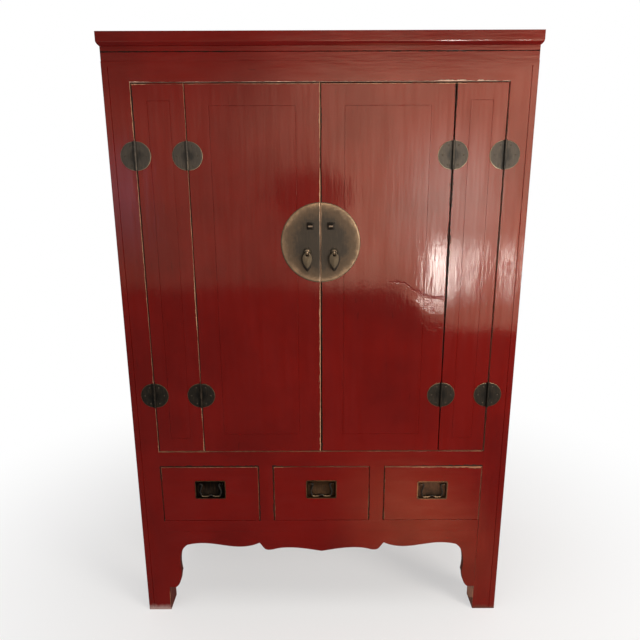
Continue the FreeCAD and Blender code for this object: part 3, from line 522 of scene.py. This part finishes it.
def towards_inside(face):
    """True for a face of the top's boards that looks down or at the middle of the cupboard."""
    middle = face.calc_center_median()
    return face.normal.z < -0.9 or face.normal.x * middle.x + face.normal.y * middle.y < -0.2


lacquered("cap_frame", plain_across, worn=0.8 * mm)
for node, finish in (("cap_panel", plain_across), ("frieze_boards", lined_across)):
    lacquered(node, finish, bare_across, worn=0.8 * mm, backed=towards_inside)


# The sides: rails from post to post and thin panels held in grooves, lacquered outside.
lacquered("side_rails", lacquer("lacquer front to back", grain_deep), side_inside,
          backed=inside_leg)
lacquered("side_panels", lacquer("lacquer up", grain_up), side_inside, backed=inside_leg)


# The apron: a curved board under the lowest rail, and the two brackets that turn its line down
# the legs. Its lower edge is softened by wear.
apron_top_z, bracket_side_x = 300 * mm, 514 * mm
lacquered("apron", plain_across, leg_brown, backed=lambda face: abs(face.normal.y) < 0.5,
          wanted=lambda edge: at_front(edge)
          and min(vert.co.z for vert in edge.verts) < apron_top_z
          and min(abs(vert.co.x) for vert in edge.verts) < bracket_side_x)


# The back and the inside: floor, shelf on bearers, drawer runners and the strip that the doors
# close against, all of planed softwood that was never lacquered and has browned with age. The
# back's rails and boards have a dark stain of their own.
back_pale, back_brown = (0.15, 0.078, 0.042), (0.075, 0.036, 0.02)
inside_across = bare("bare wood across", grain_across, inside_pale, inside_brown)
inside_deep = bare("bare wood front to back", grain_deep, inside_pale, inside_brown)
inside_up = bare("bare wood upright", grain_up, inside_pale, inside_brown)
back_across = bare("stained back across", grain_across, back_pale, back_brown)
back_up = bare("stained back upright", grain_up, back_pale, back_brown)


def planed(node, finish):
    work = flat_faces(node)
    ease(work, 0.7 * mm)
    piece("bare_" + node, work, [finish], node)


for node, finish in (("cupboard_floor", inside_across), ("shelf", inside_across),
                     ("shelf_bearers", inside_deep), ("drawer_runners", inside_deep),
                     ("door_stop_strip", inside_across)):
    planed(node, finish)
planed("back_rails", back_across)
planed("back_panels", back_up)


# The folding doors. Each side has a narrow leaf hinged to the post and a wide door hinged to
# the leaf. Both are mitred frames round a flush panel, lacquered in front and bare behind.
tapered = (1.4 * mm, 3.6 * mm)
# The dark bands beside the doors' seams and along their tops are chipped lacquer and also painted
# shadow of the seams.
seams = {"left_leaf": (("dark", 1.8 * mm), ("bare", 2.0 * mm)),
         "left_door": (("dark", 2.0 * mm), ("bare", 2.8 * mm)),
         "right_door": (("dark", 2.6 * mm), ("dark", tapered)),
         "right_leaf": (("dark", tapered), ("dark", 1.6 * mm))}
panel_line = {"left_leaf": 0.02, "left_door": 0.16, "right_door": 0.12, "right_leaf": 0.10}
crease = ((0.195, 1.134), (0.371, 1.086), 0.3)
for leaf, wear in seams.items():
    low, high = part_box(leaf + "_frame")
    rims = [top_line(high.z - 3.0 * mm, 0.9 * mm), top_line(low.z, 0.7 * mm)]
    chips = [top_line(high.z, 2.6 * mm), top_line(low.z, 1.4 * mm)]
    for x, (kind, reach) in zip((low.x, high.x), wear):
        (rims if kind == "bare" else chips).append(side_line(x, reach))
    finish = lacquer("lacquer on " + leaf, grain_up, rims, chips, arris=0.0,
                     split=crease if leaf == "right_door" else None)
    work = flat_faces(leaf + "_frame")
    ease(work, 1.2 * mm, along([(low, high)]))
    ease(work, 0.5 * mm, lambda edge: not at_front(edge))
    for face in work.faces:
        face.material_index = int(face.normal.y > 0.9)
    piece("lacquered_" + leaf + "_frame", work, [finish, inside_up], leaf + "_frame")
    lacquered(leaf + "_panel", finish, inside_up, panel_line[leaf] * mm)


# The drawers. The front is one board, housed for the sides and cut out for the pull; the box
# behind it is bare softwood, its bottom board let into grooves.
drawer_wear = {"left": (1.2 * mm, 0.6 * mm), "middle": (1.8 * mm, 1.3 * mm),
               "right": (5.0 * mm, 1.0 * mm)}
for name in ("left", "middle", "right"):
    low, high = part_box(name + "_drawer_front")
    top_rubbed, side_rubbed = drawer_wear[name]
    rims = [side_line(low.x, 1.7 * mm), side_line(high.x, side_rubbed),
            top_line(high.z, top_rubbed)]
    finish = lacquer(f"lacquer on {name} drawer", grain_across, rims, wood=brown_wood)
    lacquered(name + "_drawer_front", finish, inside_across, 1.4 * mm,
              lambda edge: at_front(edge) and max(vert.co.z for vert in edge.verts) > high.z - mm)
    planed(name + "_drawer_box", inside_deep)


# Hinges. Each is a round brass plate cut in half along the seam; the halves carry knuckles by
# turns, a pin runs through them, and three round-headed nails hold each half to the wood.
def make_old_brass():
    """Old brass: gold where Rubbed is high, brown elsewhere, and nearly black where Blackened is.
    Blackened carries patina in hollows and also painted shadow; Rubbed also carries the bails'
    painted highlight.
    """
    group = new_group("old brass",
                      [("Point", "Vector"), ("Gold", "Color"), ("Brown", "Color"),
                       ("Black", "Color"), ("Rubbed", "Float"), ("Sunk", "Float")],
                      [("Color", "Color"), ("Metallic", "Float"), ("Roughness", "Float"),
                       ("Height", "Float")])
    point, gold, brown, black, rubbed, sunk = add(group, "NodeGroupInput").outputs[:6]
    cloud = minus(speckle(point, 34.0, 4.0, 0.6, 0.3), 0.5)
    fine = minus(speckle(point, 420.0, 3.0, 0.6), 0.5)
    strokes = speckle(vectors("MULTIPLY", point, (1, 1, 0.09)), 330.0, 3.0, 0.6)
    spots = minus(speckle(point, 130.0, 4.0, 0.65, 0.4), 0.5)
    low = times_plus(spots, 0.8, times_plus(cloud, 1.1, sunk))
    low = ramp(low, 0.15, 0.85)
    colour = mixed(low, brown, black)
    grey = times(ramp(spots, 0.02, 0.22, 0.0, 0.4), minus(1.0, low))
    colour = mixed(grey, colour, mixed(0.4, brown, (0.06, 0.066, 0.055)))
    colour = mixed(ramp(strokes, 0.45, 0.75, 0.0, 0.16), colour, gold)
    rub = times_plus(cloud, 0.9, rubbed)
    rub = times_plus(fine, 0.5, times_plus(spots, 0.5, rub))
    rub = times(rub, ramp(rubbed, 0.0, 0.15))
    rub = ramp(rub, 0.2, 1.0)
    colour = mixed(rub, colour, gold)
    metal = times_plus(rub, 0.6, 0.25)
    rough = times_plus(rub, -0.18, 0.52)
    rough = times_plus(fine, 0.2, rough)
    height = times_plus(strokes, 0.2, cloud)
    height = times_plus(fine, 0.1, height)
    add(group, "NodeGroupOutput", i0=colour, i1=metal, i2=rough, i3=height)
    return group


old_brass = make_old_brass()


def brass(name, gold, brown, black, rims=(), rim=(2, 3), hollow=None, shadow_rim=None,
          proud=None, handled_and_highlit=None, rubbed=0.0, sunk=0.0, shadow_gaps=(), shine=0.05, bright=None):
    """Old brass. The value rim on the mesh runs outwards: the brass is rubbed in the band rim,
    black below the band hollow, and painted black as a shadow above the band shadow_rim. Proud
    gives two heights above the boards between which the rubbing grows, and handled_and_highlit
    two heights above the floor below which the brass turns gold, rubbed by hands and also a
    painted highlight. The shadow_gaps are outlines painted black as shadow, and bright is an
    outline and the colour it is polished to."""
    finish, tree, surface, point = new_finish(name)
    out = add(tree, "Attribute", attribute_name_="rim").outputs["Fac"]
    worn = most(ramp(out, *rim), rubbed)
    low_place = most(ramp(out, *hollow, 1.0, 0.0), sunk) if hollow else sunk
    if shadow_rim:
        low_place = times_plus(ramp(out, *shadow_rim), 1.2, low_place)
        worn = minus(worn, ramp(out, *shadow_rim))
    if proud:
        depth = parts(point)[1]
        worn = most(worn, ramp(depth, front_y - proud[0], front_y - proud[1]))
    if handled_and_highlit:
        up = parts(point)[2]
        worn = most(worn, ramp(up, *sorted(handled_and_highlit), 1.0, 0.0))
    for edge in rims:
        worn = most(worn, worn_at(point, *edge, face_depth=0.004))
    for gap in shadow_gaps:
        # Painted shadow: the brass is painted black along each of these outlines.
        gap_shadow = ramp(worn_at(point, *gap), 0.0, 0.3, 0.0, 2.0)
        low_place = plus(low_place, gap_shadow)
        worn = minus(worn, gap_shadow)
    look = add(tree, "Group", tree_=old_brass, Point=point, Gold=gold, Brown=brown, Black=black,
               Rubbed=worn, Sunk=low_place)
    relief = add(tree, "Bump", Strength=0.5, Distance=0.0004, Height=look.outputs[3])
    colour = look.outputs[0]
    if bright:
        edge, polished = bright
        share = ramp(worn_at(point, *edge, face_depth=0.008), 0.0, 0.35)
        colour = mixed(share, colour, polished)
    join(surface, Base_Color=colour, Metallic=look.outputs[1], Roughness=look.outputs[2],
         Normal=relief.outputs[0], Specular_IOR_Level=shine)
    return finish


outer_axis_x = opening_half - 1.0 * mm
inner_axis_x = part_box("right_leaf_frame")[0].x - 1.0 * mm
# Painted shadow: a black band just left of each hinge barrel, where the barrel's shade falls.
barrel_shadows = [side_line(sign * axis_x - 5.0 * mm, 3.4 * mm) for sign in (-1, 1)
               for axis_x in (outer_axis_x, inner_axis_x)]
hinge_brass = brass("hinge brass", (0.13, 0.105, 0.07), (0.028, 0.0265, 0.023),
                    (0.011, 0.012, 0.0115), rim=(0.94, 1.0), hollow=(0.0, 0.75),
                    shadow_gaps=barrel_shadows)
# Painted shade: the lower hinges take a darker, less shiny copy of the hinge brass.
shaded_lower_hinge_brass = brass("lower hinge brass", (0.070, 0.048, 0.028), (0.0085, 0.008, 0.0065),
                        (0.0032, 0.0036, 0.0033), rim=(0.94, 1.0), hollow=(0.0, 0.75),
                        shadow_gaps=barrel_shadows, shine=0.025)
plate_thick = 1.8 * mm
hinge_radius, hinge_setback = 39.0 * mm, 3.5 * mm
knuckle_radius, axis_out = 4.0 * mm, 4.2 * mm
knuckle_gap, middle_share = 0.3 * mm, 0.34
nail_circle, nail_spread = 29.5 * mm, math.radians(62)
hinge_heights = [(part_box("right_door_hinge_plates")[0].z + hinge_radius),
                 (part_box("right_door_hinge_plates")[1].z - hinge_radius)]


def beaten_half(work, centre_x, centre_z, radius, side, cut_x, shares, steps):
    """Half a round plate, beaten very slightly hollow, with a rounded rim and a sawn edge."""
    rim = work.verts.layers.float.get("rim") or work.verts.layers.float.new("rim")
    offset = abs(cut_x - centre_x)
    rows = []
    for share in shares:
        reach = max(radius * share, offset + 0.01 * mm)
        turn = math.acos(min(1.0, offset / reach))
        back = 0.25 * mm * (1 - share ** 2)
        if share > 0.985:
            back = 0.45 * mm if share < 0.9999 else 1.1 * mm
        row = []
        for step in range(steps + 1):
            angle = turn * (2 * step / steps - 1)
            vert = work.verts.new((centre_x + side * reach * math.cos(angle),
                                   front_y - plate_thick + back,
                                   centre_z + reach * math.sin(angle)))
            vert[rim] = share
            row.append(vert)
        rows.append(row)
    faces = []
    for inner, outer in zip(rows, rows[1:]):
        for step in range(steps):
            faces.append(work.faces.new((inner[step], outer[step], outer[step + 1],
                                         inner[step + 1])))
    bmesh.ops.remove_doubles(work, verts=rows[0], dist=0.02 * mm)
    faces = [face for face in faces if face.is_valid]
    made = bmesh.ops.extrude_face_region(work, geom=faces)
    for part in made["geom"]:
        if isinstance(part, bmesh.types.BMVert):
            part.co.y = front_y
            part[rim] = min(part[rim], 0.8)


def turned(work, x, y, profile, steps=20):
    """An upright turned piece: pairs of radius and height, closed at both ends."""
    turns = [2 * math.pi * s / steps for s in range(steps)]
    rows = [[work.verts.new((x + radius * math.cos(turn), y + radius * math.sin(turn), z))
             for turn in turns] for radius, z in profile]
    for low, high in zip(rows, rows[1:]):
        for s in range(steps):
            work.faces.new((low[s], low[(s + 1) % steps], high[(s + 1) % steps], high[s]))
    work.faces.new(list(reversed(rows[0])))
    work.faces.new(rows[-1])


def hinge_half(work, axis_x, centre_z, side, shares_of_barrel):
    """A half plate with its knuckles, which handling has kept brighter than the plate."""
    edge = axis_x + side * hinge_setback
    beaten_half(work, edge, centre_z, hinge_radius, side, edge,
                (0, 0.25, 0.5, 0.7, 0.85, 0.93, 0.988, 1.0), 28)
    bottom = centre_z - hinge_radius
    round_end = 0.5 * mm
    for low_share, high_share in shares_of_barrel:
        low = bottom + 2 * hinge_radius * low_share + knuckle_gap / 2
        high = bottom + 2 * hinge_radius * high_share - knuckle_gap / 2
        turned(work, axis_x, front_y - axis_out,
               [(knuckle_radius - round_end, low), (knuckle_radius, low + round_end),
                (knuckle_radius, high - round_end), (knuckle_radius - round_end, high)])
        strip_sides = (axis_x + side * 0.5 * mm, edge + side * 0.4 * mm)
        corners = [Vector((x, y, z)) for x in sorted(strip_sides)
                   for y in (front_y - plate_thick, front_y - 0.1 * mm) for z in (low, high)]
        strip = [work.verts.new(corner) for corner in corners]
        bmesh.ops.convex_hull(work, input=strip)
    rim = work.verts.layers.float["rim"]
    for vert in work.verts:
        if vert[rim] == 0 and front_y - vert.co.y > plate_thick + mm:
            vert[rim] = 0.96


end_share = (1 - middle_share) / 2
outer_knuckles = [(0, end_share), (1 - end_share, 1)]
middle_knuckle = [(end_share, 1 - end_share)]


def hinge_plates(node, halves):
    """One body's half plates. A half is its seam's axis, the way it lies and its knuckles."""
    work = bmesh.new()
    for axis_x, side, knuckles in halves:
        for height in hinge_heights:
            hinge_half(work, axis_x, height, side, knuckles)
    bmesh.ops.recalc_face_normals(work, faces=work.faces)
    # The lower hinge of each pair gets the darker copy of the brass, as painted shade.
    for face in work.faces:
        face.material_index = int(face.calc_center_median().z < sum(hinge_heights) / 2)
    piece("beaten_" + node, work, [hinge_brass, shaded_lower_hinge_brass], node, smooth=True)


def nail_tree():
    """Round-headed nails, one on each point given."""
    tree = new_group("round-headed nails",
                     [("Geometry", "Geometry"), ("Head radius", "Float"),
                      ("Head height", "Float"), ("Finish", "Material")],
                     [("Geometry", "Geometry")], "GeometryNodeTree")
    kinds = {"given": "NodeGroupInput", "head": "GeometryNodeMeshUVSphere",
             "size": "ShaderNodeCombineXYZ", "points": "GeometryNodeMeshToPoints",
             "uneven": "FunctionNodeRandomValue", "scale": "ShaderNodeVectorMath",
             "place": "GeometryNodeInstanceOnPoints", "real": "GeometryNodeRealizeInstances",
             "finish": "GeometryNodeSetMaterial", "smooth": "GeometryNodeSetShadeSmooth",
             "made": "NodeGroupOutput"}
    made = {name: tree.nodes.new(kind) for name, kind in kinds.items()}
    join(made["head"], Segments=12, Rings=8, Radius=1.0)
    made["uneven"].data_type, made["scale"].operation = "FLOAT_VECTOR", "MULTIPLY"
    join(made["uneven"], i0=(0.88, 0.8, 0.88), i1=(1.1, 1.15, 1.1), Seed=7)
    links = [("given", "Geometry", "points", "Mesh"), ("given", "Head radius", "size", "X"),
             ("given", "Head height", "size", "Y"), ("given", "Head radius", "size", "Z"),
             ("size", 0, "scale", 0), ("uneven", 0, "scale", 1),
             ("points", 0, "place", "Points"), ("head", "Mesh", "place", "Instance"),
             ("scale", 0, "place", "Scale"), ("place", 0, "real", 0), ("real", 0, "smooth", 0),
             ("smooth", 0, "finish", "Geometry"), ("given", "Finish", "finish", "Material"),
             ("finish", 0, "made", 0)]
    for one, output, other, place in links:
        tree.links.new(made[one].outputs[output], made[other].inputs[place])
    return tree


round_nails = nail_tree()
nail_brass = brass("nail brass", (0.10, 0.08, 0.052), (0.030, 0.026, 0.020),
                   (0.010, 0.0095, 0.008), rubbed=0.3)


def driven_nails(places, head_radius, head_height, finish):
    """A plain mesh of nail heads at these places, made by the nails' tree."""
    mesh = bpy.data.meshes.new("nail places")
    mesh.from_pydata(places, [], [])
    maker = bpy.data.objects.new("nail places", mesh)
    bpy.context.scene.collection.objects.link(maker)
    modifier = maker.modifiers.new("nails", "NODES")
    modifier.node_group = round_nails
    given = {"Head radius": head_radius, "Head height": head_height, "Finish": finish}
    for item in round_nails.interface.items_tree:
        if item.in_out == "INPUT" and item.name in given:
            modifier[item.identifier] = given[item.name]
    bpy.context.view_layer.update()
    result = bpy.data.meshes.new_from_object(
        maker.evaluated_get(bpy.context.evaluated_depsgraph_get()))
    bpy.data.objects.remove(maker)
    return result


def fasteners(node, seams, pin_axes=()):
    """Nails of the half plates, and the pins that stay in this body's knuckles."""
    places = []
    for axis_x, side in seams:
        for height in hinge_heights:
            for turn in (-nail_spread, 0, nail_spread):
                places.append((axis_x + side * nail_circle * math.cos(turn),
                               front_y - plate_thick, height + nail_circle * math.sin(turn)))
    heads = driven_nails(places, 2.3 * mm, 0.95 * mm, nail_brass)
    work = bmesh.new()
    work.from_mesh(heads)
    for axis_x in pin_axes:
        for height in hinge_heights:
            seat = height + hinge_radius - knuckle_gap / 2
            turned(work, axis_x, front_y - axis_out,
                   [(1.8 * mm, seat - 2 * hinge_radius + knuckle_gap), (1.8 * mm, seat),
                    (3.2 * mm, seat + 0.05 * mm), (3.2 * mm, seat + 1.0 * mm),
                    (2.4 * mm, seat + 1.6 * mm)])
    piece("driven_" + node, work, [nail_brass], node, smooth=True)


hinge_plates("post_hinge_plates", [(sign * outer_axis_x, sign, outer_knuckles)
                                   for sign in (-1, 1)])
fasteners("post_hinge_fasteners", [(sign * outer_axis_x, sign) for sign in (-1, 1)],
          [-outer_axis_x, outer_axis_x])
for side, sign in left_right:
    hinge_plates(side + "_leaf_hinge_plates", [(sign * inner_axis_x, sign, outer_knuckles),
                                               (sign * outer_axis_x, -sign, middle_knuckle)])
    fasteners(side + "_leaf_hinge_fasteners", [(sign * inner_axis_x, sign),
                                               (sign * outer_axis_x, -sign)],
              [sign * inner_axis_x])
    hinge_plates(side + "_door_hinge_plates", [(sign * inner_axis_x, -sign, middle_knuckle)])
    fasteners(side + "_door_hinge_nails", [(sign * inner_axis_x, -sign)])


# The lock plate: one round brass plate sawn in two, half on each door. Years of polishing have
# left its rim gold and its middle brown, and the left half's sawn edge bright.
lock_low, lock_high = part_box("right_lock_plate")
lock_radius = (lock_high.z - lock_low.z) / 2
lock_z = (lock_high.z + lock_low.z) / 2


def sawn_edge(x, reach):
    return Vector((x, front_y - 2 * mm, -far)), Vector((far, front_y, far)), reach


lock_brass = brass("lock plate brass", (0.070, 0.051, 0.033), (0.034, 0.025, 0.016),
                   (0.015, 0.0135, 0.0105), rims=[sawn_edge(lock_low.x, 2.6 * mm)],
                   rim=(0.66, 1.16), hollow=(0.40, 0.95),
                   bright=(sawn_edge(-lock_low.x, 1.5 * mm), (0.24, 0.185, 0.135)))
for side, sign in left_right:
    work = bmesh.new()
    beaten_half(work, 0, lock_z, lock_radius, sign, sign * lock_low.x,
                (0, 0.12, 0.25, 0.4, 0.55, 0.7, 0.82, 0.9, 0.95, 0.975, 0.993, 1.0), 64)
    bmesh.ops.recalc_face_normals(work, faces=work.faces)
    piece("sawn_" + side + "_lock_plate", work, [lock_brass], side + "_lock_plate",
          smooth=True)


# The lock staples stand above the middle of the plate and take the bar of a lock. Below them a
# domed boss and an eye carry each leaf-shaped pull. All are cast brass, riveted to the plate.
eye_brass = brass("boss brass", (0.20, 0.155, 0.105), (0.030, 0.025, 0.017),
                  (0.008, 0.007, 0.006), proud=(3.5 * mm, 9.0 * mm), sunk=0.4)
# Painted shadow: each leaf pull is blackened in a band round its edge.
pull_brass = brass("pull brass", (0.070, 0.057, 0.036), (0.034, 0.028, 0.018),
                   (0.005, 0.004, 0.003), rubbed=0.25, shadow_rim=(0.70, 0.88))
# The staples are near-black: old dark brass, and also painted shadow round each staple; only their
# fronts are rubbed gold.
shaded_staple_brass = brass("staple brass", (0.040, 0.034, 0.026), (0.009, 0.008, 0.006),
                     (0.004, 0.0035, 0.003), proud=(15 * mm, 18.5 * mm), sunk=0.6)
boss_low, boss_high, boss_swell = 1.8 * mm, 5.3 * mm, 6.2 / 3.5
shank_radius = 2.52 * mm
pull_hole_radius, pull_hole_from_top = 4.5 * mm, 11.9 * mm
leaf_shape = [(0, 0), (0.32, 0.012), (0.50, 0.07), (0.60, 0.15), (0.84, 0.215), (0.985, 0.33),
              (0.985, 0.45), (0.86, 0.62), (0.62, 0.78), (0.30, 0.92), (0.10, 0.98), (0, 1)]


def leaf_pull(work, low, high):
    """A cast leaf: pointed, raised along its middle, with a round hole near its top."""
    rim = work.verts.layers.float.new("rim")
    middle_x, half, long = (low.x + high.x) / 2, (high.x - low.x) / 2, high.z - low.z
    hole = Vector((middle_x, 0, high.z - pull_hole_from_top))
    side = [Vector((middle_x + half * across, 0, high.z - long * down))
            for across, down in leaf_shape]
    outline = side + [Vector((2 * middle_x - at.x, 0, at.z)) for at in side[-2:0:-1]]
    rows, steps = [], 72

    def reach(way):
        for one, other in zip(outline, outline[1:] + outline[:1]):
            run, start = other - one, one - hole
            cross = way.x * run.z - way.z * run.x
            if abs(cross) > 1e-12:
                distance = (start.x * run.z - start.z * run.x) / cross
                share = (start.x * way.z - start.z * way.x) / cross
                if distance > 0 and -1e-6 <= share <= 1 + 1e-6:
                    return distance
        return pull_hole_radius * 1.4

    ways = [Vector((math.sin(2 * math.pi * s / steps), 0, math.cos(2 * math.pi * s / steps)))
            for s in range(steps)]
    reaches = [reach(way) for way in ways]
    smooth = [(reaches[s - 1] + 2 * reaches[s] + reaches[(s + 1) % steps]) / 4
              for s in range(steps)]
    smooth[steps // 2] = reaches[steps // 2]
    thick = high.y - low.y
    for share, lift in ((0, 0.5), (0.10, 0.85), (0.30, 1.0), (0.55, 1.0), (0.78, 0.9), (0.92, 0.7),
                        (1.0, 0.3), (1.0, 0.0), (0, 0.0)):
        row = []
        for way, edge in zip(ways, smooth):
            place = hole + way * (pull_hole_radius + (edge - pull_hole_radius) * share)
            ridge = 1 - 0.45 * min(1.0, abs(place.x - middle_x) / half * 1.6) if lift > 0.5 else 1
            place.y = high.y - thick * lift * ridge
            vert = work.verts.new(place)
            vert[rim] = share
            row.append(vert)
        rows.append(row)
    rows.append(rows[0])
    for one, other in zip(rows, rows[1:]):
        for s in range(steps):
            work.faces.new((one[s], one[(s + 1) % steps], other[(s + 1) % steps], other[s]))
    bmesh.ops.recalc_face_normals(work, faces=work.faces)


for side, sign in left_right:
    for node, finish in ((side + "_lock_staple", shaded_staple_brass), (side + "_pull_eye", eye_brass)):
        work = flat_faces(node)
        ease(work, 0.45 * mm, shortest=1.2 * mm)
        if node.endswith("eye"):
            low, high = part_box(node)
            centre = Vector(((low.x + high.x) / 2, 0, (low.z + high.z) / 2))
            for vert in work.verts:
                out = math.hypot(vert.co.x - centre.x, vert.co.z - centre.z)
                proud = front_y - vert.co.y
                if out > shank_radius and boss_low < proud < boss_high + 0.02 * mm:
                    vert.co.y -= (proud - boss_low) * (boss_swell - 1)
        piece("cast_" + node, work, [finish], node, smooth=True)
    work = bmesh.new()
    leaf_pull(work, *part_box(side + "_drop_pull"))
    piece("cast_" + side + "_drop_pull", work, [pull_brass], side + "_drop_pull",
          smooth=True)


# Drawer pulls: a pan let into the drawer's front, its border lying on the face, and a swinging
# bail in two posts. The left one has kept its black; the others are rubbed brown and gold. Each
# bail is gold along its lowest stretch, rubbed by hands and also a painted highlight.
pans = {"left": ((0.060, 0.032, 0.015), (0.0024, 0.0020, 0.0016),
                 (0.0012, 0.0010, 0.0008), 0.005),
        "middle": ((0.10, 0.056, 0.028), (0.018, 0.0095, 0.004),
                   (0.007, 0.004, 0.002), 0.014),
        "right": ((0.13, 0.074, 0.038), (0.044, 0.024, 0.013),
                  (0.016, 0.010, 0.006), 0.05)}
for name in ("left", "middle", "right"):
    low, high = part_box(name + "_drawer_pull_plate")
    border = (low, Vector((high.x, low.y, high.z)), 3.0 * mm)
    *colours, shine = pans[name]
    plate = brass(name + " pull plate brass", *colours, rims=[border], sunk=0.5, shine=shine)
    # Painted highlight: the bail's lowest stretch is gold, rubbed by hands and also standing for
    # the light it catches.
    bail = brass(name + " bail brass", (0.065, 0.049, 0.029), (0.010, 0.010, 0.0095),
                 (0.005, 0.005, 0.005), handled_and_highlit=(low.z + 13 * mm, low.z + 7 * mm))
    work = flat_faces(name + "_drawer_pull_plate")
    ease(work, 0.4 * mm, shortest=1.0 * mm)
    piece("pressed_" + name + "_pull_plate", work, [plate], name + "_drawer_pull_plate",
          smooth=True)
    work = flat_faces(name + "_drawer_bail")
    piece("bent_" + name + "_bail", work, [bail], name + "_drawer_bail",
          smooth=True)


# The studio: a pale floor that fades into white, soft light all round, and two softboxes that
# light the cabinet. The other lamps are seen only as reflections in the lacquer and stand for the
# photographer's room: a lit wall, clouds of light on it, the floor, and three window panes.
floor_mesh = bpy.data.meshes.new("floor")
work = bmesh.new()
bmesh.ops.create_circle(work, cap_ends=True, radius=14, segments=96)
for vert in work.verts:
    vert.co.z = -0.5 * mm
work.to_mesh(floor_mesh)
work.free()
floor = bpy.data.objects.new("floor", floor_mesh)
bpy.context.scene.collection.objects.link(floor)
floor_finish, tree, surface, place = new_finish("pale floor")
join(surface, Base_Color=(0.80, 0.79, 0.78), Roughness=0.85, Specular_IOR_Level=0.1)


def seen(tree):
    """One where the ray comes from the camera, straight, mirrored or through glass."""
    path = add(tree, "LightPath").outputs
    return most(most(path["Is Camera Ray"], path["Is Glossy Ray"]), path["Is Transmission Ray"])


away = add(tree, "VectorMath", operation_="LENGTH", i0=place).outputs[1]
glow = add(tree, "Emission", Color=(1, 1, 1), Strength=1.0).outputs[0]
share = times(seen(tree), ramp(away, 0.3, 2.0, 0.5, 1.0))
blend = add(tree, "MixShader", i0=share, i1=surface.outputs[0], i2=glow)
tree.links.new(blend.outputs[0], tree.nodes["Material Output"].inputs[0])
floor_mesh.materials.append(floor_finish)

world = bpy.data.worlds.new("studio")
bpy.context.scene.world = world
world.use_nodes = True
tree = world.node_tree
diffuse_strength = 0.21
strength = times_plus(seen(tree), 1 - diffuse_strength, diffuse_strength)
join(tree.nodes["Background"], Strength=strength, Color=(1, 1, 1))


def softbox(name, place, wide, high, watts, colour, aim=None, soft_edge=None, shade=None):
    """A rectangular softbox. Without a soft edge it lights the cabinet and isn't mirrored. With
    one it is only seen mirrored, and its cloth dims towards its edges and as shade says of the
    place on it, from 0 to 1 to the right and upwards. Without an aim it faces the cabinet."""
    lamp = bpy.data.lights.new(name, "AREA")
    lamp.shape = "RECTANGLE"
    lamp.size, lamp.size_y, lamp.energy, lamp.color = wide, high, watts, colour
    made = bpy.data.objects.new(name, lamp)
    made.location = place
    way = Vector(aim or (place[0], 0, place[2])) - Vector(place)
    made.rotation_euler = way.to_track_quat("-Z", "Y").to_euler()
    made.visible_camera = False
    made.visible_diffuse = soft_edge is None
    made.visible_glossy = soft_edge is not None
    if soft_edge:
        lamp.use_nodes = True
        tree = lamp.node_tree
        cloth = parts(add(tree, "NewGeometry").outputs["Parametric"])
        level = shade(*cloth[:2]) if shade else 1.0
        for way in (0, 1):
            middle = unsigned(minus(cloth[way], 0.5))
            level = times(level, ramp(middle, 0.5 - soft_edge, 0.5, 1.0, 0.0))
        tree.links.new(level, tree.nodes["Emission"].inputs["Strength"])
    bpy.context.scene.collection.objects.link(made)


def wall_shade(across, up):
    """Light that grows slowly to the right above and begins at a sharper edge below. It is dimmer
    at the top left, and in the round shadow that lies beside the lock plate."""
    begins = ramp(up, 0.66, 0.86, 0.215, 0.30)
    above = ramp(across, begins, 0.64, 0.19, 1.0)
    below = ramp(across, 0.42, 0.53, 0.205, 1.0)
    share = ramp(up, 0.42, 0.71)
    level = times_plus(share, minus(above, below), below)
    level = times(level, ramp(up, 0.02, 0.30, 0.65, 1.0))
    level = times(level, ramp(up, 0.81, 0.95, 1.0, 0.25))
    corner = times(ramp(up, 0.68, 0.80), ramp(across, 0.20, 0.42, -0.42, 0.0))
    level = times_plus(level, corner, level)
    level = times(level, ramp(across, 0.70, 0.88, 1.0, 1.22))
    (shadow_x, shadow_z), (shadow_wide, shadow_high) = (0.465, 0.458), (0.078, 0.095)
    aside = over(minus(across, shadow_x), shadow_wide)
    above_it = over(minus(up, shadow_z), shadow_high)
    shadow = times_plus(aside, aside, times(above_it, above_it))
    level = times(level, ramp(shadow, 0.35, 1.35, 0.2, 1.0))
    sill = minus(up, ramp(across, 0.60, 0.74, 0.165, 0.02))
    return times(level, ramp(sill, -0.02, 0.03))


def pane_shade(across, up):
    """A window pane behind a thin curtain: rounded, dimmer below and fading out at its top."""
    side = unsigned(times_plus(across, 2.0, -1.0))
    tall = unsigned(times_plus(up, 2.0, -1.0))
    off = plus(power(side, 2.0), power(tall, 4.0))
    level = ramp(off, 0.25, 1.1, 1.0, 0.0)
    level = times(level, ramp(up, 0.55, 0.98, 1.0, 0.12))
    return times(level, ramp(up, 0.1, 0.6, 0.72, 1.0))


softbox("key softbox", (3.0, -2.6, 1.6), 1.4, 1.8, 118, (1, 0.95, 0.9), aim=(0.2, 0, 0.9))
softbox("overhead softbox", (0, -0.6, 4.2), 3.4, 3.0, 98, (1, 0.98, 0.96), aim=(0, -0.3, 0))
softbox("wall of light", (0.1, -3.27, 1.45), 4.4, 2.6, 640, (1, 0.70, 0.52), soft_edge=0.04,
        shade=wall_shade)
softbox("bright cloud", (1.1, -3.26, 1.34), 1.35, 1.5, 112, (0.66, 0.95, 1), soft_edge=0.5)
softbox("blue cloud", (-1.62, -3.26, 1.35), 0.6, 1.3, 12, (0.23, 0.5, 1), soft_edge=0.5)
softbox("warm patch of floor", (0.42, -0.80, 0.004), 0.90, 1.45, 34, (1, 0.46, 0.24),
        aim=(0.42, -0.80, 1), soft_edge=0.5)
for name, middle_x, wide, glare in (("first pane", 1.04, 0.18, 390),
                                    ("second pane", 1.275, 0.045, 440),
                                    ("third pane", 1.60, 0.06, 310)):
    softbox(name, (middle_x, -3.25, 0.76), wide, 0.64, glare * wide, (0.90, 0.97, 1),
            soft_edge=0.02, shade=pane_shade)

bpy.context.scene.view_settings.view_transform = "Standard"
